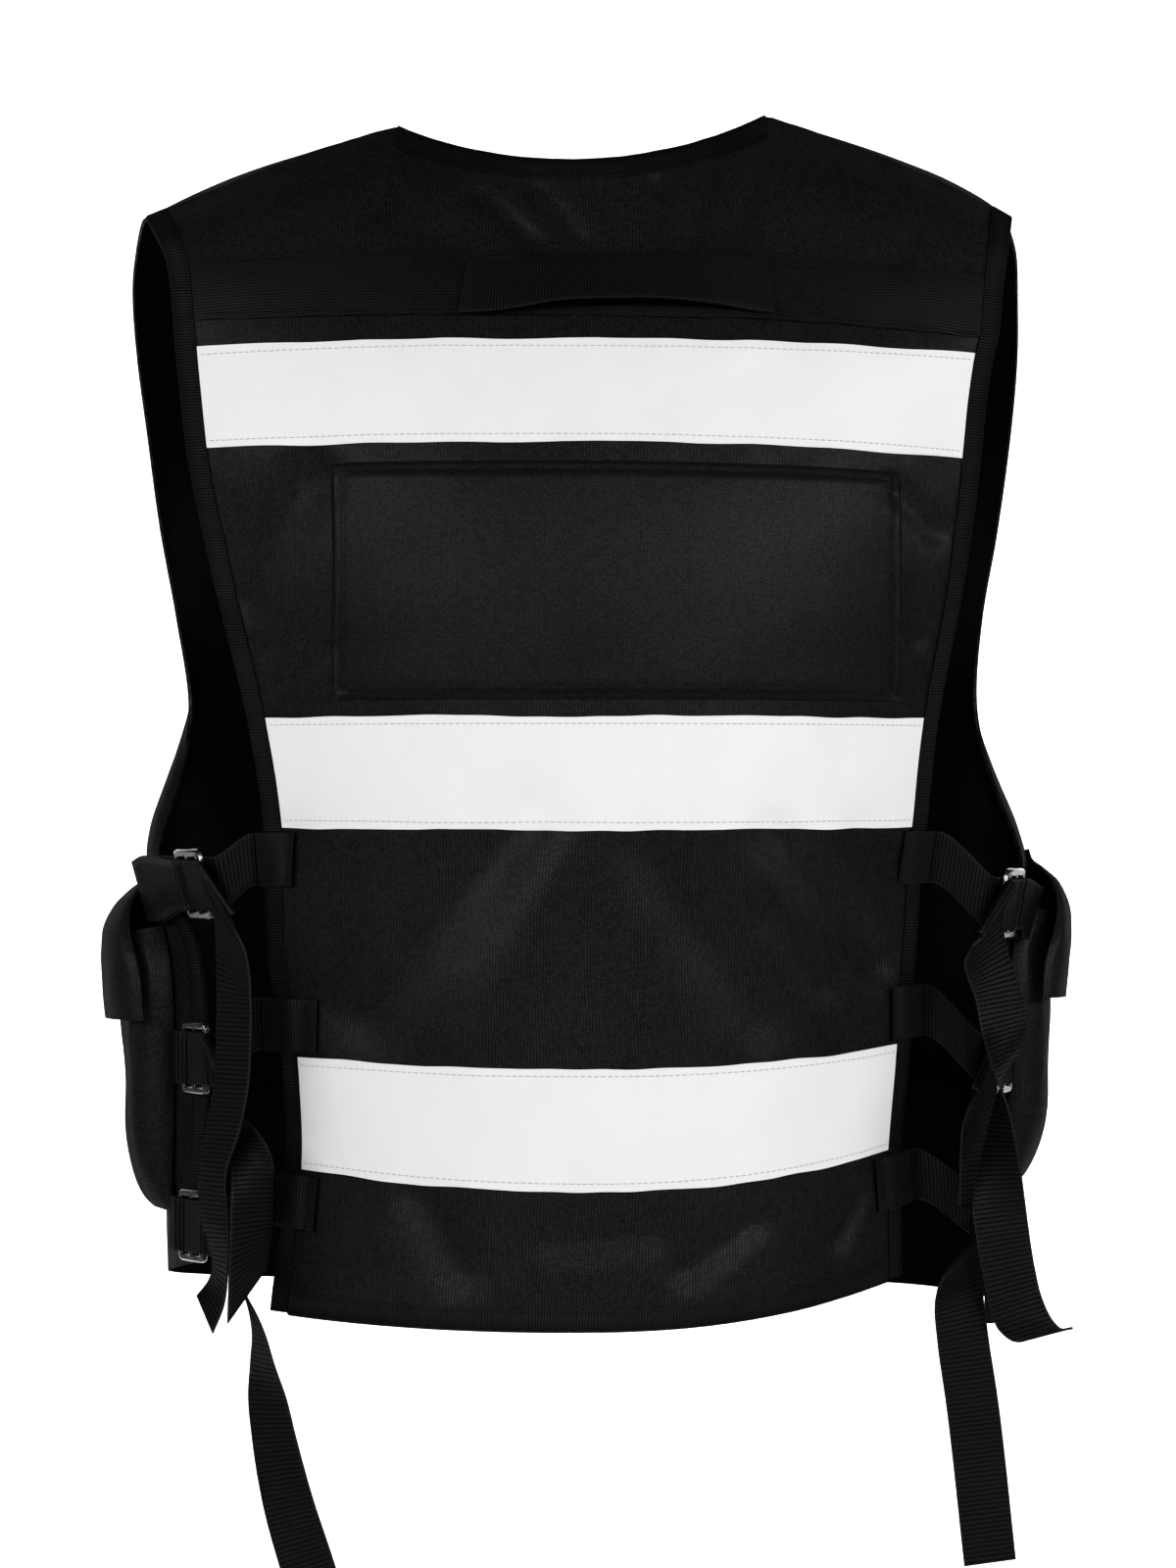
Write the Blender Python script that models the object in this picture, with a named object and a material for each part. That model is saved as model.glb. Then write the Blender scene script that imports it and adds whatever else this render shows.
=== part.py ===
"""A black work vest with white reflective strips, held in the shape it has when it is worn.

The tables are in millimetres and the model is in metres. +Z is up, the back of the vest looks towards -Y,
and the wearer's left is towards -X. The origin lies between the wearer's shoulders, in the plane of the
shoulder seams. A turn is an angle seen from above: 0 looks towards -Y, and 90 towards +X.
"""

import math
from collections import namedtuple

import bmesh
import bpy
import numpy as np
from mathutils import Vector

MM = 0.001

# The steps at which a surface's direction is measured: shares across, millimetres down, and rows
ACROSS_STEP = 0.01
DOWN_STEP = 1.0
ROW_STEP = 0.05

# Cloth, tape and webbing
CLOTH = 2.0
GAP = 0.35
LOOSE_GAP = 1.2
TAPE = 0.9
STRIP_CLOTH = 0.9
WEBBING = 1.3
STRAP_WIDTH = 25.0
SIDE_BINDING = 8.0

# The back, one row for each section from the neckline down to the hem. down and depth are the place of the
# middle, edge_drop and edge_depth that of both edges, peak_up and peak_forward raise the two neck points,
# left and right are the edges' x, and lift_left and lift_right pull the edges up.
BackRow = namedtuple(
    "BackRow", "down depth edge_drop edge_depth peak_up peak_forward left right lift_left lift_right"
)
BACK_ROWS = [
    BackRow(2, 48, 22, 10, 27, 37, -209, 202, 0, 0),
    BackRow(20, 58, 14, 26, 18, 18, -205, 198, 0, -1),
    BackRow(48, 71, 3, 38, 2, 5, -199, 193, 0, -5),
    BackRow(78, 83, 0, 44, 0, 1, -196, 189, 0, -6),
    BackRow(89, 87, 2, 45, 0, 0, -195, 187, 0, 0),
    BackRow(110, 93, 2, 48, 0, 0, -193, 183, 0, -1),
    BackRow(137, 99, 1, 49, 0, 0, -190, 180, 0, -3),
    BackRow(200, 106, 0, 48, 0, 0, -177, 172, 0, 0),
    BackRow(262, 106, 0, 43, 0, 0, -162, 161, 0, 0),
    BackRow(314, 103, 0, 39, 0, 0, -154, 156, 1, 1),
    BackRow(365, 100, 0, 37, 0, 0, -153, 152, 1, 3),
    BackRow(423, 98, 0, 35, 0, 0, -146, 149, 3, 8),
    BackRow(479, 98, 0, 34, 0, 0, -144, 145, 7, 15),
    BackRow(542, 100, 0, 34, 0, 0, -151, 145, 3, 17),
]
BACK_ROUNDING = 2.4
NECK_POINT = 0.43
SEAM_GAP = 0.004
SIDE_LINE = 0.955

# The right shoulder is a little higher than the left.
SHOULDER_LEAN = 3.4
LEAN_SPAN = 88.0
LEAN_FADE = (-50.0, -5.0)

# Soft folds in the back: both ends of each fold's crest, how far it stands out, and its half width.
Fold = namedtuple("Fold", "x1 z1 x2 z2 height spread")
BACK_FOLDS = [
    Fold(-40, -335, -118, -425, 3.0, 17),
    Fold(-5, -330, -30, -410, -2.5, 16),
    Fold(52, -330, 118, -425, 3.0, 18),
    Fold(22, -322, 60, -405, -2.0, 15),
    Fold(-20, -5, -55, -45, 2.5, 12),
    Fold(30, -8, 22, -45, 2.5, 11),
    Fold(12, -6, 2, -44, -2.0, 9),
    Fold(-25, -95, -45, -135, 1.8, 12),
    Fold(10, -95, 0, -140, -1.5, 12),
    Fold(40, -95, 62, -138, 1.8, 13),
    Fold(-60, -500, -40, -540, 1.6, 16),
    Fold(60, -495, 75, -535, -1.6, 16),
]

# One front half, one row for each section from the shoulder down to the hem, with x away from the middle.
# in is the neckline or zip edge, front and side steer the curve between, and out is the armhole or rear
# edge. The right half's outer edge is wider and lower by the last two columns.
FrontRow = namedtuple(
    "FrontRow", "in_x in_y in_z front_x front_y side_x side_y out_x out_y out_z wider_right lower_right"
)
FRONT_ROWS = [
    FrontRow(90, 8, 23, 130, 6, 172, 5, 212, 6, -24, -8, 0),
    FrontRow(87, 28, 15, 130, 30, 175, 29, 215, 27, -36, -3, 0),
    FrontRow(82, 50, -4, 128, 58, 178, 54, 217, 45, -56, -1, 0),
    FrontRow(74, 70, -34, 122, 84, 180, 78, 215, 58, -86, 3, 0),
    FrontRow(60, 86, -66, 115, 102, 180, 98, 210, 67, -124, 6, 0),
    FrontRow(36, 97, -94, 105, 115, 178, 108, 204, 74, -168, 7, 0),
    FrontRow(4, 105, -116, 95, 122, 174, 112, 196, 78, -212, 8, 0),
    FrontRow(4, 111, -165, 110, 126, 184, 112, 190, 75, -255, 11, 0),
    FrontRow(4, 115, -220, 125, 128, 208, 106, 195, 60, -292, 12, 0),
    FrontRow(4, 117, -275, 140, 127, 228, 96, 204, 36, -323, 11, 0),
    FrontRow(4, 118, -325, 152, 125, 238, 80, 201, 12, -341, 10, 0),
    FrontRow(4, 118, -375, 160, 124, 238, 68, 186, -2, -375, 10, 0),
    FrontRow(4, 117, -430, 160, 123, 238, 66, 183, -4, -428, 10, 3),
    FrontRow(4, 116, -490, 160, 122, 238, 66, 184, -4, -479, 9, 14),
    FrontRow(4, 115, -545, 158, 121, 236, 66, 184, -3, -519, 10, 33),
]
TIP_ROUNDING = (0.78, 0.22, 5)
FRONT_LINE = 0.97
ZIP_ROW = 7
UNDERARM_ROW = 11
HEM_ROW = len(FRONT_ROWS)
TORSO_CENTRE = (0.0, 20.0, -250.0)

# What is sewn on the back, by its distance down from the origin at the middle of the back
SHOULDER_WEBBING = (48, 78)
STRIPS = {"upper": (89, 137), "middle": (262, 314), "lower": (423, 479)}
PATCH_DOWN = (146, 254)
PATCH_LEFT = -124.0
PATCH_RIGHT = 139.0
PATCH_CLOTH = 1.6
FRONT_STRIP_DOWN = (283.0, 333.0)
FRONT_STRIP_ACROSS = (0.04, 0.74)

# The handle, a second webbing: x, how far it is from the webbing under it, its height and its tilt
HandleRow = namedtuple("HandleRow", "x out z tilt")
HANDLE_ROWS = [
    HandleRow(-64, 1.4, -65, 0),
    HandleRow(-52, 4.2, -66.5, -8),
    HandleRow(-40, 6.2, -66.5, -16),
    HandleRow(-22, 8.0, -65, -25),
    HandleRow(0, 8.8, -64, -24),
    HandleRow(24, 8.8, -63, -19),
    HandleRow(46, 7.2, -62.5, -8),
    HandleRow(60, 4.6, -62, 0),
    HandleRow(70, 2.2, -62, 0),
    HandleRow(78, 1.4, -62, 0),
]
HANDLE_WIDTH = 29.0

# The back's rows of faces that no sewn piece's edge gives, and the columns of its right half. The middle of
# the back has evenly spaced columns between the neck points.
BACK_DOWNS = (2, 11, 20, 34, 113, 173, 200, 227, 288, 340, 365, 394, 451, 510, 533, 542)
OUTER_COLUMNS = (NECK_POINT, 0.56, 0.68, 0.79, 0.88, SIDE_LINE, 1.0)
MIDDLE_COLUMNS = 9
FRONT_COLUMNS = (0.0, 0.11, 0.23, 0.35, 0.47, 0.58, 0.68, 0.77, 0.85, 0.92, FRONT_LINE, 1.0)
ZIP_SECTIONS = 12
SHARP_ANGLE = 40.0

# The zip: the tape behind both edges, and the closed chain between them
ZIP_TAPE = 24.0
ZIP_CHAIN = 6.0
ZIP_STAND = 1.2

# The adjusters and the tabs that their straps start from. tab is the height of the tab, inwards how far it
# reaches on the back, outwards how far past the edge, and x, y, z, turn and lean place the adjuster, whose
# top leans outwards by the lean.
Fitting = namedtuple("Fitting", "side level tab inwards outwards x y z turn lean")
FITTINGS = [
    Fitting("left", "top", -328, 13, 4, -187.0, -17.0, -340, -60, 15),
    Fitting("left", "middle", -405, 18, 8, -186.5, -11.5, -422, -60, 0),
    Fitting("left", "bottom", -487, 15, 4, -187.8, -11.5, -501, -60, 0),
    Fitting("right", "top", -327, 12, 4, 200.5, -17.0, -350, 60, 10),
    Fitting("right", "middle", -400, 12, 5, 197.5, -11.5, -424, 60, 0),
    Fitting("right", "bottom", -479, 14, 6, 197.5, -11.5, -498, 60, 0),
]
TAB_HEIGHT = 25.4
TAB_STAND = 0.9
FRAME_LONG = 34.0
FRAME_WIDE = 22.0
FRAME_HALF = 1.8
BAR = 3.0
MIDDLE_BAR = 3.0
SLOT_PLAY = 0.9
CORNER_CUT = 0.8

# The loops that hold the adjusters: the shares of a front half at which both layers are sewn, how far they
# stand off it, how far the upper layer is from the lower one, how much lower they are sewn than the adjuster
# is, and their way round the front bar: along the strap, and outwards
LOOP_SEWN_UNDER = (0.925, 0.95, 0.97)
LOOP_SEWN_OVER = (0.965, 0.945, 0.925)
LOOP_STAND = {"top": 6.6, "middle": 2.8, "bottom": 2.8}
LAYER_STEP = 2.15
LOOP_DROP = {"top": -4.0, "middle": 0.0, "bottom": 0.0}
LOOP_ROWS = [(10.5, -3.1), (8.2, -3.1), (6.9, -2.1), (6.6, 0), (6.9, 2.1), (8.2, 3.1), (13.0, 3.1)]

# How a strap goes round the adjuster's middle bar: along the strap, and outwards
WRAP_ROWS = [
    (-17, -3.1),
    (-9, -3.1),
    (-1, -3.1),
    (2.8, -2.4),
    (4.2, 0),
    (2.8, 2.4),
    (-1, 3.1),
    (-9, 3.1),
    (-13, 3.3),
]

# The straps' tails, from just behind the adjuster on: each row holds both edges. The first edge is the upper
# one at the adjuster. The tail folds over on a slant, and hangs down with that edge outwards.
TailRow = namedtuple("TailRow", "x1 y1 z1 x2 y2 z2")
TAILS = {
    ("left", "top"): [
        TailRow(-184.9, -34.5, -329.3, -168.5, -49.5, -353.5),
        TailRow(-185.6, -35.8, -329, -169.2, -50.8, -353.2),
        TailRow(-186.7, -35.4, -329.9, -170.3, -50.4, -354.1),
        TailRow(-186.2, -35.6, -330.9, -170, -51.2, -355),
        TailRow(-182.8, -36.9, -338.6, -167.8, -56.9, -361.6),
        TailRow(-178.6, -37.4, -350.6, -164, -58.4, -369.6),
        TailRow(-177.3, -39.2, -366.4, -162.1, -59.7, -378.4),
        TailRow(-176.9, -42, -388.3, -161.2, -61, -390.3),
        TailRow(-177.2, -43.4, -412.2, -161.2, -62.4, -412.2),
        TailRow(-179, -45.3, -436.2, -162.9, -62.8, -436.2),
        TailRow(-182.3, -43.2, -456.1, -167.3, -61.2, -456.1),
        TailRow(-185.1, -41.6, -472.1, -172.5, -59.6, -472.1),
        TailRow(-184.2, -40.2, -495.1, -171.7, -57.6, -495.1),
        TailRow(-179.1, -37.8, -514, -171.9, -58.6, -514),
        TailRow(-180.5, -37, -524, -173.8, -57, -534),
        TailRow(-186.2, -40, -531, -178.8, -56.5, -547),
    ],
    ("left", "middle"): [
        TailRow(-181.4, -26.6, -410, -168.6, -40.5, -435),
        TailRow(-181.8, -27.8, -409.5, -169, -41.7, -434.5),
        TailRow(-183, -29.9, -410, -170.2, -43.8, -435),
        TailRow(-181.1, -30.3, -421, -171.1, -48.7, -444),
        TailRow(-177.7, -33.1, -434, -166.5, -51.2, -447),
        TailRow(-175.8, -37.2, -449, -160.3, -54.6, -451),
        TailRow(-171.9, -48.1, -463, -151.9, -59.6, -464.3),
        TailRow(-170.5, -55.3, -470, -150.7, -57.8, -470),
        TailRow(-170.5, -60.6, -479, -150.9, -52.6, -479),
        TailRow(-171.1, -61.9, -500, -151.5, -49.4, -498),
        TailRow(-172.3, -60.3, -542, -154.3, -50.3, -518),
    ],
    ("left", "bottom"): [
        TailRow(-181.6, -26.6, -489, -168.5, -39, -514),
        TailRow(-181.8, -27.8, -488.5, -168.7, -40.2, -513.5),
        TailRow(-183, -28.1, -489, -169.9, -40.8, -514),
        TailRow(-181.1, -33.6, -503, -169.6, -48, -522),
        TailRow(-172.2, -38.4, -517, -164.2, -50, -530),
        TailRow(-164.2, -33.4, -531, -159.7, -55.9, -537),
        TailRow(-160.4, -36.9, -547, -155, -61.3, -547),
        TailRow(-161.2, -37.3, -562, -150.3, -59.7, -562),
        TailRow(-162.3, -39.1, -578, -145, -57.1, -577),
        TailRow(-160.7, -41.3, -597, -140.7, -56.3, -594),
        TailRow(-155.3, -43.9, -630, -132.4, -53.3, -624),
        TailRow(-146.7, -46.2, -661, -122.9, -50.6, -653),
        TailRow(-142.3, -46.3, -675, -118.5, -50.3, -667),
    ],
    ("right", "top"): [
        TailRow(197.4, -34, -338.7, 179.5, -48.5, -363),
        TailRow(198.1, -35.2, -338.4, 180.2, -49.7, -362.7),
        TailRow(199.3, -35.4, -339.2, 181.4, -49.9, -363.5),
        TailRow(194.7, -36.9, -350.6, 175, -53.8, -370.6),
        TailRow(193.8, -38.6, -361.4, 172.1, -55.6, -376.4),
        TailRow(195.9, -39.9, -372.3, 173.6, -53.5, -383.3),
        TailRow(201.2, -42.6, -390.2, 177.9, -51.1, -394.2),
        TailRow(203.8, -45.4, -404.2, 180.5, -53.4, -409.2),
        TailRow(201.2, -44.3, -416.1, 182.9, -60.3, -421.1),
        TailRow(194.1, -42.7, -430.1, 186.8, -66.2, -433.1),
        TailRow(188.2, -43.2, -446.1, 191.4, -67.7, -446.1),
        TailRow(183.7, -45.6, -462, 194.8, -67.6, -461),
        TailRow(179.3, -49, -477, 197.5, -66, -475),
        TailRow(176.3, -53.5, -492, 200.6, -59, -489),
        TailRow(177.8, -56, -507, 202.6, -58, -503),
        TailRow(181.2, -57, -527, 205.4, -59, -521),
        TailRow(184.4, -58, -541, 208, -61, -533),
        TailRow(189, -57, -550, 211.5, -65, -542),
        TailRow(197, -52, -555, 215.5, -68.5, -547),
        TailRow(210, -49, -552, 220.8, -71.5, -546.5),
    ],
    ("right", "middle"): [
        TailRow(192.6, -26.6, -412, 178.4, -39.5, -437),
        TailRow(192.9, -27.8, -411.5, 178.7, -40.7, -436.5),
        TailRow(194.1, -28.1, -412.1, 179.9, -41, -437.1),
        TailRow(192.4, -29.2, -425, 175.7, -44.7, -446),
        TailRow(191.9, -30.4, -440, 173.1, -44.4, -454),
        TailRow(191.4, -31.6, -462, 172.1, -44.1, -465),
        TailRow(191, -32.4, -490, 171.5, -43.4, -492),
    ],
    ("right", "bottom"): [
        TailRow(192.4, -26.6, -486, 176.5, -40, -511),
        TailRow(192.7, -27.8, -485.5, 176.8, -41.2, -510.5),
        TailRow(193.8, -28.1, -486.1, 177.9, -41.5, -511.1),
        TailRow(188.5, -38.1, -498.1, 167, -49, -518.1),
        TailRow(183.6, -42.7, -512.1, 160.6, -57.9, -525.1),
        TailRow(182.8, -45.5, -530.1, 158.7, -51.6, -537.1),
        TailRow(184.7, -47.7, -550, 160.1, -49.7, -554),
        TailRow(189.4, -47.8, -581, 164.6, -47.8, -584),
        TailRow(198.2, -47.6, -658, 173.4, -47.6, -661),
    ],
}

# The pockets, as shares of a front half's width, heights of the left one, and how far they stand out
POCKET_ACROSS = (0.42, 0.905)
POCKET_TOP = -360.0
POCKET_BOTTOM = -497.0
POCKET_STAND = 24.0
POCKET_RIM = 1.8
POCKET_CLOTH = 1.6
POCKET_LIFT = {"left": 0.0, "right": 9.0}

# The pocket's rows as shares of its height. It has its full bulge down to the share where its floor rounds.
POCKET_HEIGHTS = (0, 0.2, 0.4, 0.58, 0.74, 0.86, 0.95, 1.0)
POCKET_STEPS = 12
POCKET_FLOOR = 0.3
FLAP_ACROSS = (0.40, 0.91)
FLAP_CLOTH = 1.6
FLAP_COLUMNS = 10
FLAP_SIDE_REACH = 0.62

# The flap's profile: height, and how far it stands out from the front
FLAP_ROWS = [
    (-334, 2.1),
    (-338, 3.0),
    (-342, 10.0),
    (-347, 19.0),
    (-355, 26.5),
    (-368, 30.0),
    (-388, 30.0),
    (-405, 29.0),
]

Stuff = namedtuple("Stuff", "name colour roughness")
CANVAS = Stuff("black_canvas", (0.012, 0.012, 0.013), 0.85)
WEB = Stuff("black_webbing", (0.010, 0.010, 0.011), 0.8)
BINDING = Stuff("black_binding", (0.011, 0.011, 0.012), 0.8)
REFLECTIVE = Stuff("white_reflective", (0.80, 0.81, 0.82), 0.45)
PLASTIC = Stuff("black_plastic", (0.006, 0.006, 0.007), 0.25)


# Curves and directions


def smooth_values(positions, values, where):
    """All columns of a table at a place between its rows, on a smooth curve through the rows."""
    k = int(np.clip(np.searchsorted(positions, where) - 1, 0, len(positions) - 2))
    steps = np.diff(positions)
    slopes = np.diff(values, axis=0) / steps[:, None]

    def tangent(i):
        if i == 0:
            return slopes[0]
        if i == len(positions) - 1:
            return slopes[-1]
        before, after = steps[i - 1], steps[i]
        return (slopes[i - 1] * after + slopes[i] * before) / (before + after)

    step = steps[k]
    u = (where - positions[k]) / step
    return (
        (2 * u**3 - 3 * u**2 + 1) * values[k]
        + (u**3 - 2 * u**2 + u) * step * tangent(k)
        + (3 * u**2 - 2 * u**3) * values[k + 1]
        + (u**3 - u**2) * step * tangent(k + 1)
    )


def bezier(points, u):
    """A point of the cubic curve with these four control points."""
    weights = ((1 - u) ** 3, 3 * u * (1 - u) ** 2, 3 * u**2 * (1 - u), u**3)
    return sum(w * np.array(p, float) for w, p in zip(weights, points))


def smoothstep(low, high, value):
    """Rises from 0 at low to 1 at high."""
    u = min(max((value - low) / (high - low), 0.0), 1.0)
    return u * u * (3 - 2 * u)


def level_direction(turn):
    """The level direction with this turn."""
    turn = math.radians(turn)
    return Vector((math.sin(turn), -math.cos(turn), 0.0))


def spread(low, high, count):
    """Evenly spaced values from low to high."""
    return [low + (high - low) * i / (count - 1) for i in range(count)]


# The form of the back


BACK_POSITIONS = np.array([row.down for row in BACK_ROWS], float)
BACK_VALUES = np.array(BACK_ROWS, float)


def fold_height(x, z):
    """How far the folds make the back stand out at a place."""
    total = 0.0
    for fold in BACK_FOLDS:
        along_x, along_z = fold.x2 - fold.x1, fold.z2 - fold.z1
        u = ((x - fold.x1) * along_x + (z - fold.z1) * along_z) / (along_x**2 + along_z**2)
        near = min(max(u, 0.0), 1.0)
        far = math.hypot(x - fold.x1 - near * along_x, z - fold.z1 - near * along_z)
        total += fold.height * math.exp(-((far / fold.spread) ** 2))
    return total


def shoulder_lean(x, z):
    """The rise of the right shoulder over the left one, fading out down the body."""
    share = math.sin(min(max(x / LEAN_SPAN, -1.0), 1.0) * math.pi / 2)
    return SHOULDER_LEAN * share * smoothstep(*LEAN_FADE, z)


def back_place(across, down):
    """A point of the back's outer face: across runs from -1 at the left edge to 1 at the right edge."""
    row = BackRow(*smooth_values(BACK_POSITIONS, BACK_VALUES, down))
    reach = abs(across)
    if reach < NECK_POINT:
        peak = (reach / NECK_POINT) ** 2
    else:
        peak = (1 - reach) / (1 - NECK_POINT)
    curve = reach**BACK_ROUNDING
    lift = (row.lift_right if across > 0 else row.lift_left) * reach**2
    x = (row.left + row.right) / 2 + across * (row.right - row.left) / 2
    z = -row.down - row.edge_drop * curve + row.peak_up * peak + lift
    y = -row.depth + (row.depth - row.edge_depth) * curve + row.peak_forward * peak
    y -= fold_height(x, z)
    return Vector((x, y, z + shoulder_lean(x, z)))


def back_across(x, down):
    """The share across the back at which a row reaches this x."""
    row = BackRow(*smooth_values(BACK_POSITIONS, BACK_VALUES, down))
    return (2 * x - row.left - row.right) / (row.right - row.left)


def back_normal(across, down):
    """The direction that the back's outer face looks to."""
    top = BACK_ROWS[0].down
    if down <= top and abs(across) >= NECK_POINT:
        return seam_normal(across)
    return surface_normal(back_place, across, down, ACROSS_STEP, DOWN_STEP)


def surface_normal(place, u, v, step_u, step_v):
    """The outward direction of a surface that place(u, v) gives, from points beside it."""
    du = place(u + step_u, v) - place(u - step_u, v)
    dv = place(u, v + step_v) - place(u, v - step_v)
    normal = du.cross(dv).normalized()
    outwards = place(u, v) - Vector(TORSO_CENTRE)
    return normal if normal.dot(outwards) > 0 else -normal


def seam_normal(across):
    """The direction at a shoulder seam, shared by the back and the front so that their edges meet."""
    top = BACK_ROWS[0].down
    along = back_place(across + ACROSS_STEP, top) - back_place(across - ACROSS_STEP, top)
    side = "right" if across > 0 else "left"
    over = front_row_place(side, (abs(across) - NECK_POINT) / (1 - NECK_POINT), 1)
    over -= back_place(across, BACK_ROWS[1].down)
    normal = along.cross(over).normalized()
    return normal if normal.z > 0 else -normal


# The form of the front halves


def front_row_place(side, across, row_number):
    """A point of one row of a front half. Row 0 is the shoulder seam, shared with the back."""
    sign = 1 if side == "right" else -1
    if row_number == 0:
        seam = back_place(sign * (NECK_POINT + (1 - NECK_POINT) * across), BACK_ROWS[0].down)
        return seam + Vector((0, GAP + 0.1, 0))
    row = FRONT_ROWS[row_number - 1]
    inner, outer = (row.in_x, row.in_y), (row.out_x, row.out_y)
    x, y = bezier([inner, (row.front_x, row.front_y), (row.side_x, row.side_y), outer], across)
    straight, curved, power = TIP_ROUNDING
    z = row.in_z + (row.out_z - row.in_z) * (straight * across + curved * across**power)
    if side == "right":
        x += row.wider_right * across
        z -= row.lower_right * across**2
    return Vector((sign * x, y, z + shoulder_lean(sign * x, z)))


FRONT_POSITIONS = np.arange(HEM_ROW + 1, dtype=float)


def front_place(side, across, row):
    """A point of a front half's outer face: across runs from the zip to the outer edge."""
    lowest = int(np.clip(math.floor(row) - 1, 0, HEM_ROW - 3))
    numbers = range(lowest, lowest + 4)
    values = np.array([front_row_place(side, across, n) for n in numbers])
    return Vector(smooth_values(FRONT_POSITIONS[lowest : lowest + 4], values, row))


def front_normal(side, across, row):
    """The direction that a front half's outer face looks to."""
    if row <= 0:
        return seam_normal((1 if side == "right" else -1) * (NECK_POINT + (1 - NECK_POINT) * across))
    return surface_normal(lambda u, v: front_place(side, u, v), across, row, ACROSS_STEP, ROW_STEP)


def front_row_at(side, across, z):
    """The row, counted from the shoulder, in which a front half reaches this height."""
    low, high = 1.0, float(HEM_ROW)
    for _ in range(30):
        middle = (low + high) / 2
        if front_place(side, across, middle).z > z:
            low = middle
        else:
            high = middle
    return (low + high) / 2


def over_front(side, across, z, stand):
    """A point this far out from a front half, at a share across it and a height."""
    row = front_row_at(side, across, z)
    return front_place(side, across, row) + front_normal(side, across, row) * stand


# Solids


def stuff_material(stuff):
    """The material of one kind of stuff, made once."""
    known = bpy.data.materials.get(stuff.name)
    if known:
        return known
    material = bpy.data.materials.new(stuff.name)
    material.use_nodes = True
    shader = material.node_tree.nodes["Principled BSDF"]
    shader.inputs["Base Color"].default_value = (*stuff.colour, 1)
    shader.inputs["Roughness"].default_value = stuff.roughness
    shader.inputs["Metallic"].default_value = 0.0
    material.diffuse_color = (*stuff.colour, 1)
    return material


def make_object(name, points, triangles, stuff):
    """One closed solid from points in millimetres, with its faces turned outwards."""
    mesh = bpy.data.meshes.new(name)
    mesh.from_pydata([tuple(p * MM) for p in points], [], triangles)
    shell = bmesh.new()
    shell.from_mesh(mesh)
    bmesh.ops.recalc_face_normals(shell, faces=shell.faces)
    shell.to_mesh(mesh)
    shell.free()
    mesh.materials.append(stuff_material(stuff))
    piece = bpy.data.objects.new(name, mesh)
    bpy.context.scene.collection.objects.link(piece)
    mesh.shade_smooth()
    mesh.set_sharp_from_angle(angle=math.radians(SHARP_ANGLE))
    return piece


def split(a, b, c, d):
    """The two triangles of a four-sided face, always cut the same way."""
    return [(a, b, c), (a, c, d)]


def slab(name, outer, inner, stuff):
    """A closed sheet of cloth between two grids of points with the same rows and columns."""
    rows, columns = len(outer), len(outer[0])
    points = [p for row in outer for p in row] + [p for row in inner for p in row]
    under = rows * columns

    def at(row, column):
        return row * columns + column

    triangles = []
    for r in range(rows - 1):
        for c in range(columns - 1):
            corners = (at(r, c), at(r, c + 1), at(r + 1, c + 1), at(r + 1, c))
            triangles += split(*corners)
            triangles += [tuple(under + i for i in reversed(t)) for t in split(*corners)]
    rim = [at(0, c) for c in range(columns)]
    rim += [at(r, columns - 1) for r in range(1, rows)]
    rim += [at(rows - 1, c) for c in range(columns - 2, -1, -1)]
    rim += [at(r, 0) for r in range(rows - 2, 0, -1)]
    for a, b in zip(rim, rim[1:] + rim[:1]):
        triangles += split(b, a, under + a, under + b)
    return make_object(name, points, triangles, stuff)


def sheet(name, place, normal, us, vs, low, high, stuff):
    """Cloth that lies on a surface, between two heights over it."""
    outer = [[place(u, v) + high * normal(u, v) for u in us] for v in vs]
    inner = [[place(u, v) + low * normal(u, v) for u in us] for v in vs]
    return slab(name, outer, inner, stuff)


def sweep(name, sections, stuff, turned=()):
    """A closed bar through rings of points that all have the same number of points. The sides in turned are
    cut along their other diagonal."""
    count = len(sections[0])
    points = [p for ring in sections for p in ring]
    triangles = []
    for s in range(len(sections) - 1):
        for i in range(count):
            j = (i + 1) % count
            a, b = s * count + i, s * count + j
            corners = (b, b + count, a + count, a) if i in turned else (a, b, b + count, a + count)
            triangles += split(*corners)
    last = (len(sections) - 1) * count
    for start, ring in ((0, sections[0]), (last, sections[-1])):
        triangles += [tuple(start + i for i in t) for t in ring_cap(ring)]
    return make_object(name, points, triangles, stuff)


def ring_cap(ring):
    """Triangles that close a ring, cut ear by ear so that a hollow profile closes too."""
    middle = sum(ring, Vector()) / len(ring)
    axis = Vector()
    for a, b in zip(ring, ring[1:] + ring[:1]):
        axis += (a - middle).cross(b - middle)
    left = list(range(len(ring)))
    triangles = []
    while len(left) > 3:
        for k in range(len(left)):
            i, j, m = left[k - 1], left[k], left[(k + 1) % len(left)]
            turn = (ring[j] - ring[i]).cross(ring[m] - ring[j]).dot(axis)
            others = [n for n in left if n not in (i, j, m)]
            if turn > 0 and not any(inside(ring[n], ring[i], ring[j], ring[m], axis) for n in others):
                triangles.append((i, j, m))
                left.pop(k)
                break
        else:
            break
    return triangles + [tuple(left)]


def inside(point, a, b, c, axis):
    """Whether a point of a ring lies in the triangle a, b, c."""
    return all(
        (q - p).cross(point - p).dot(axis) > 0 for p, q in ((a, b), (b, c), (c, a))
    )


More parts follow.
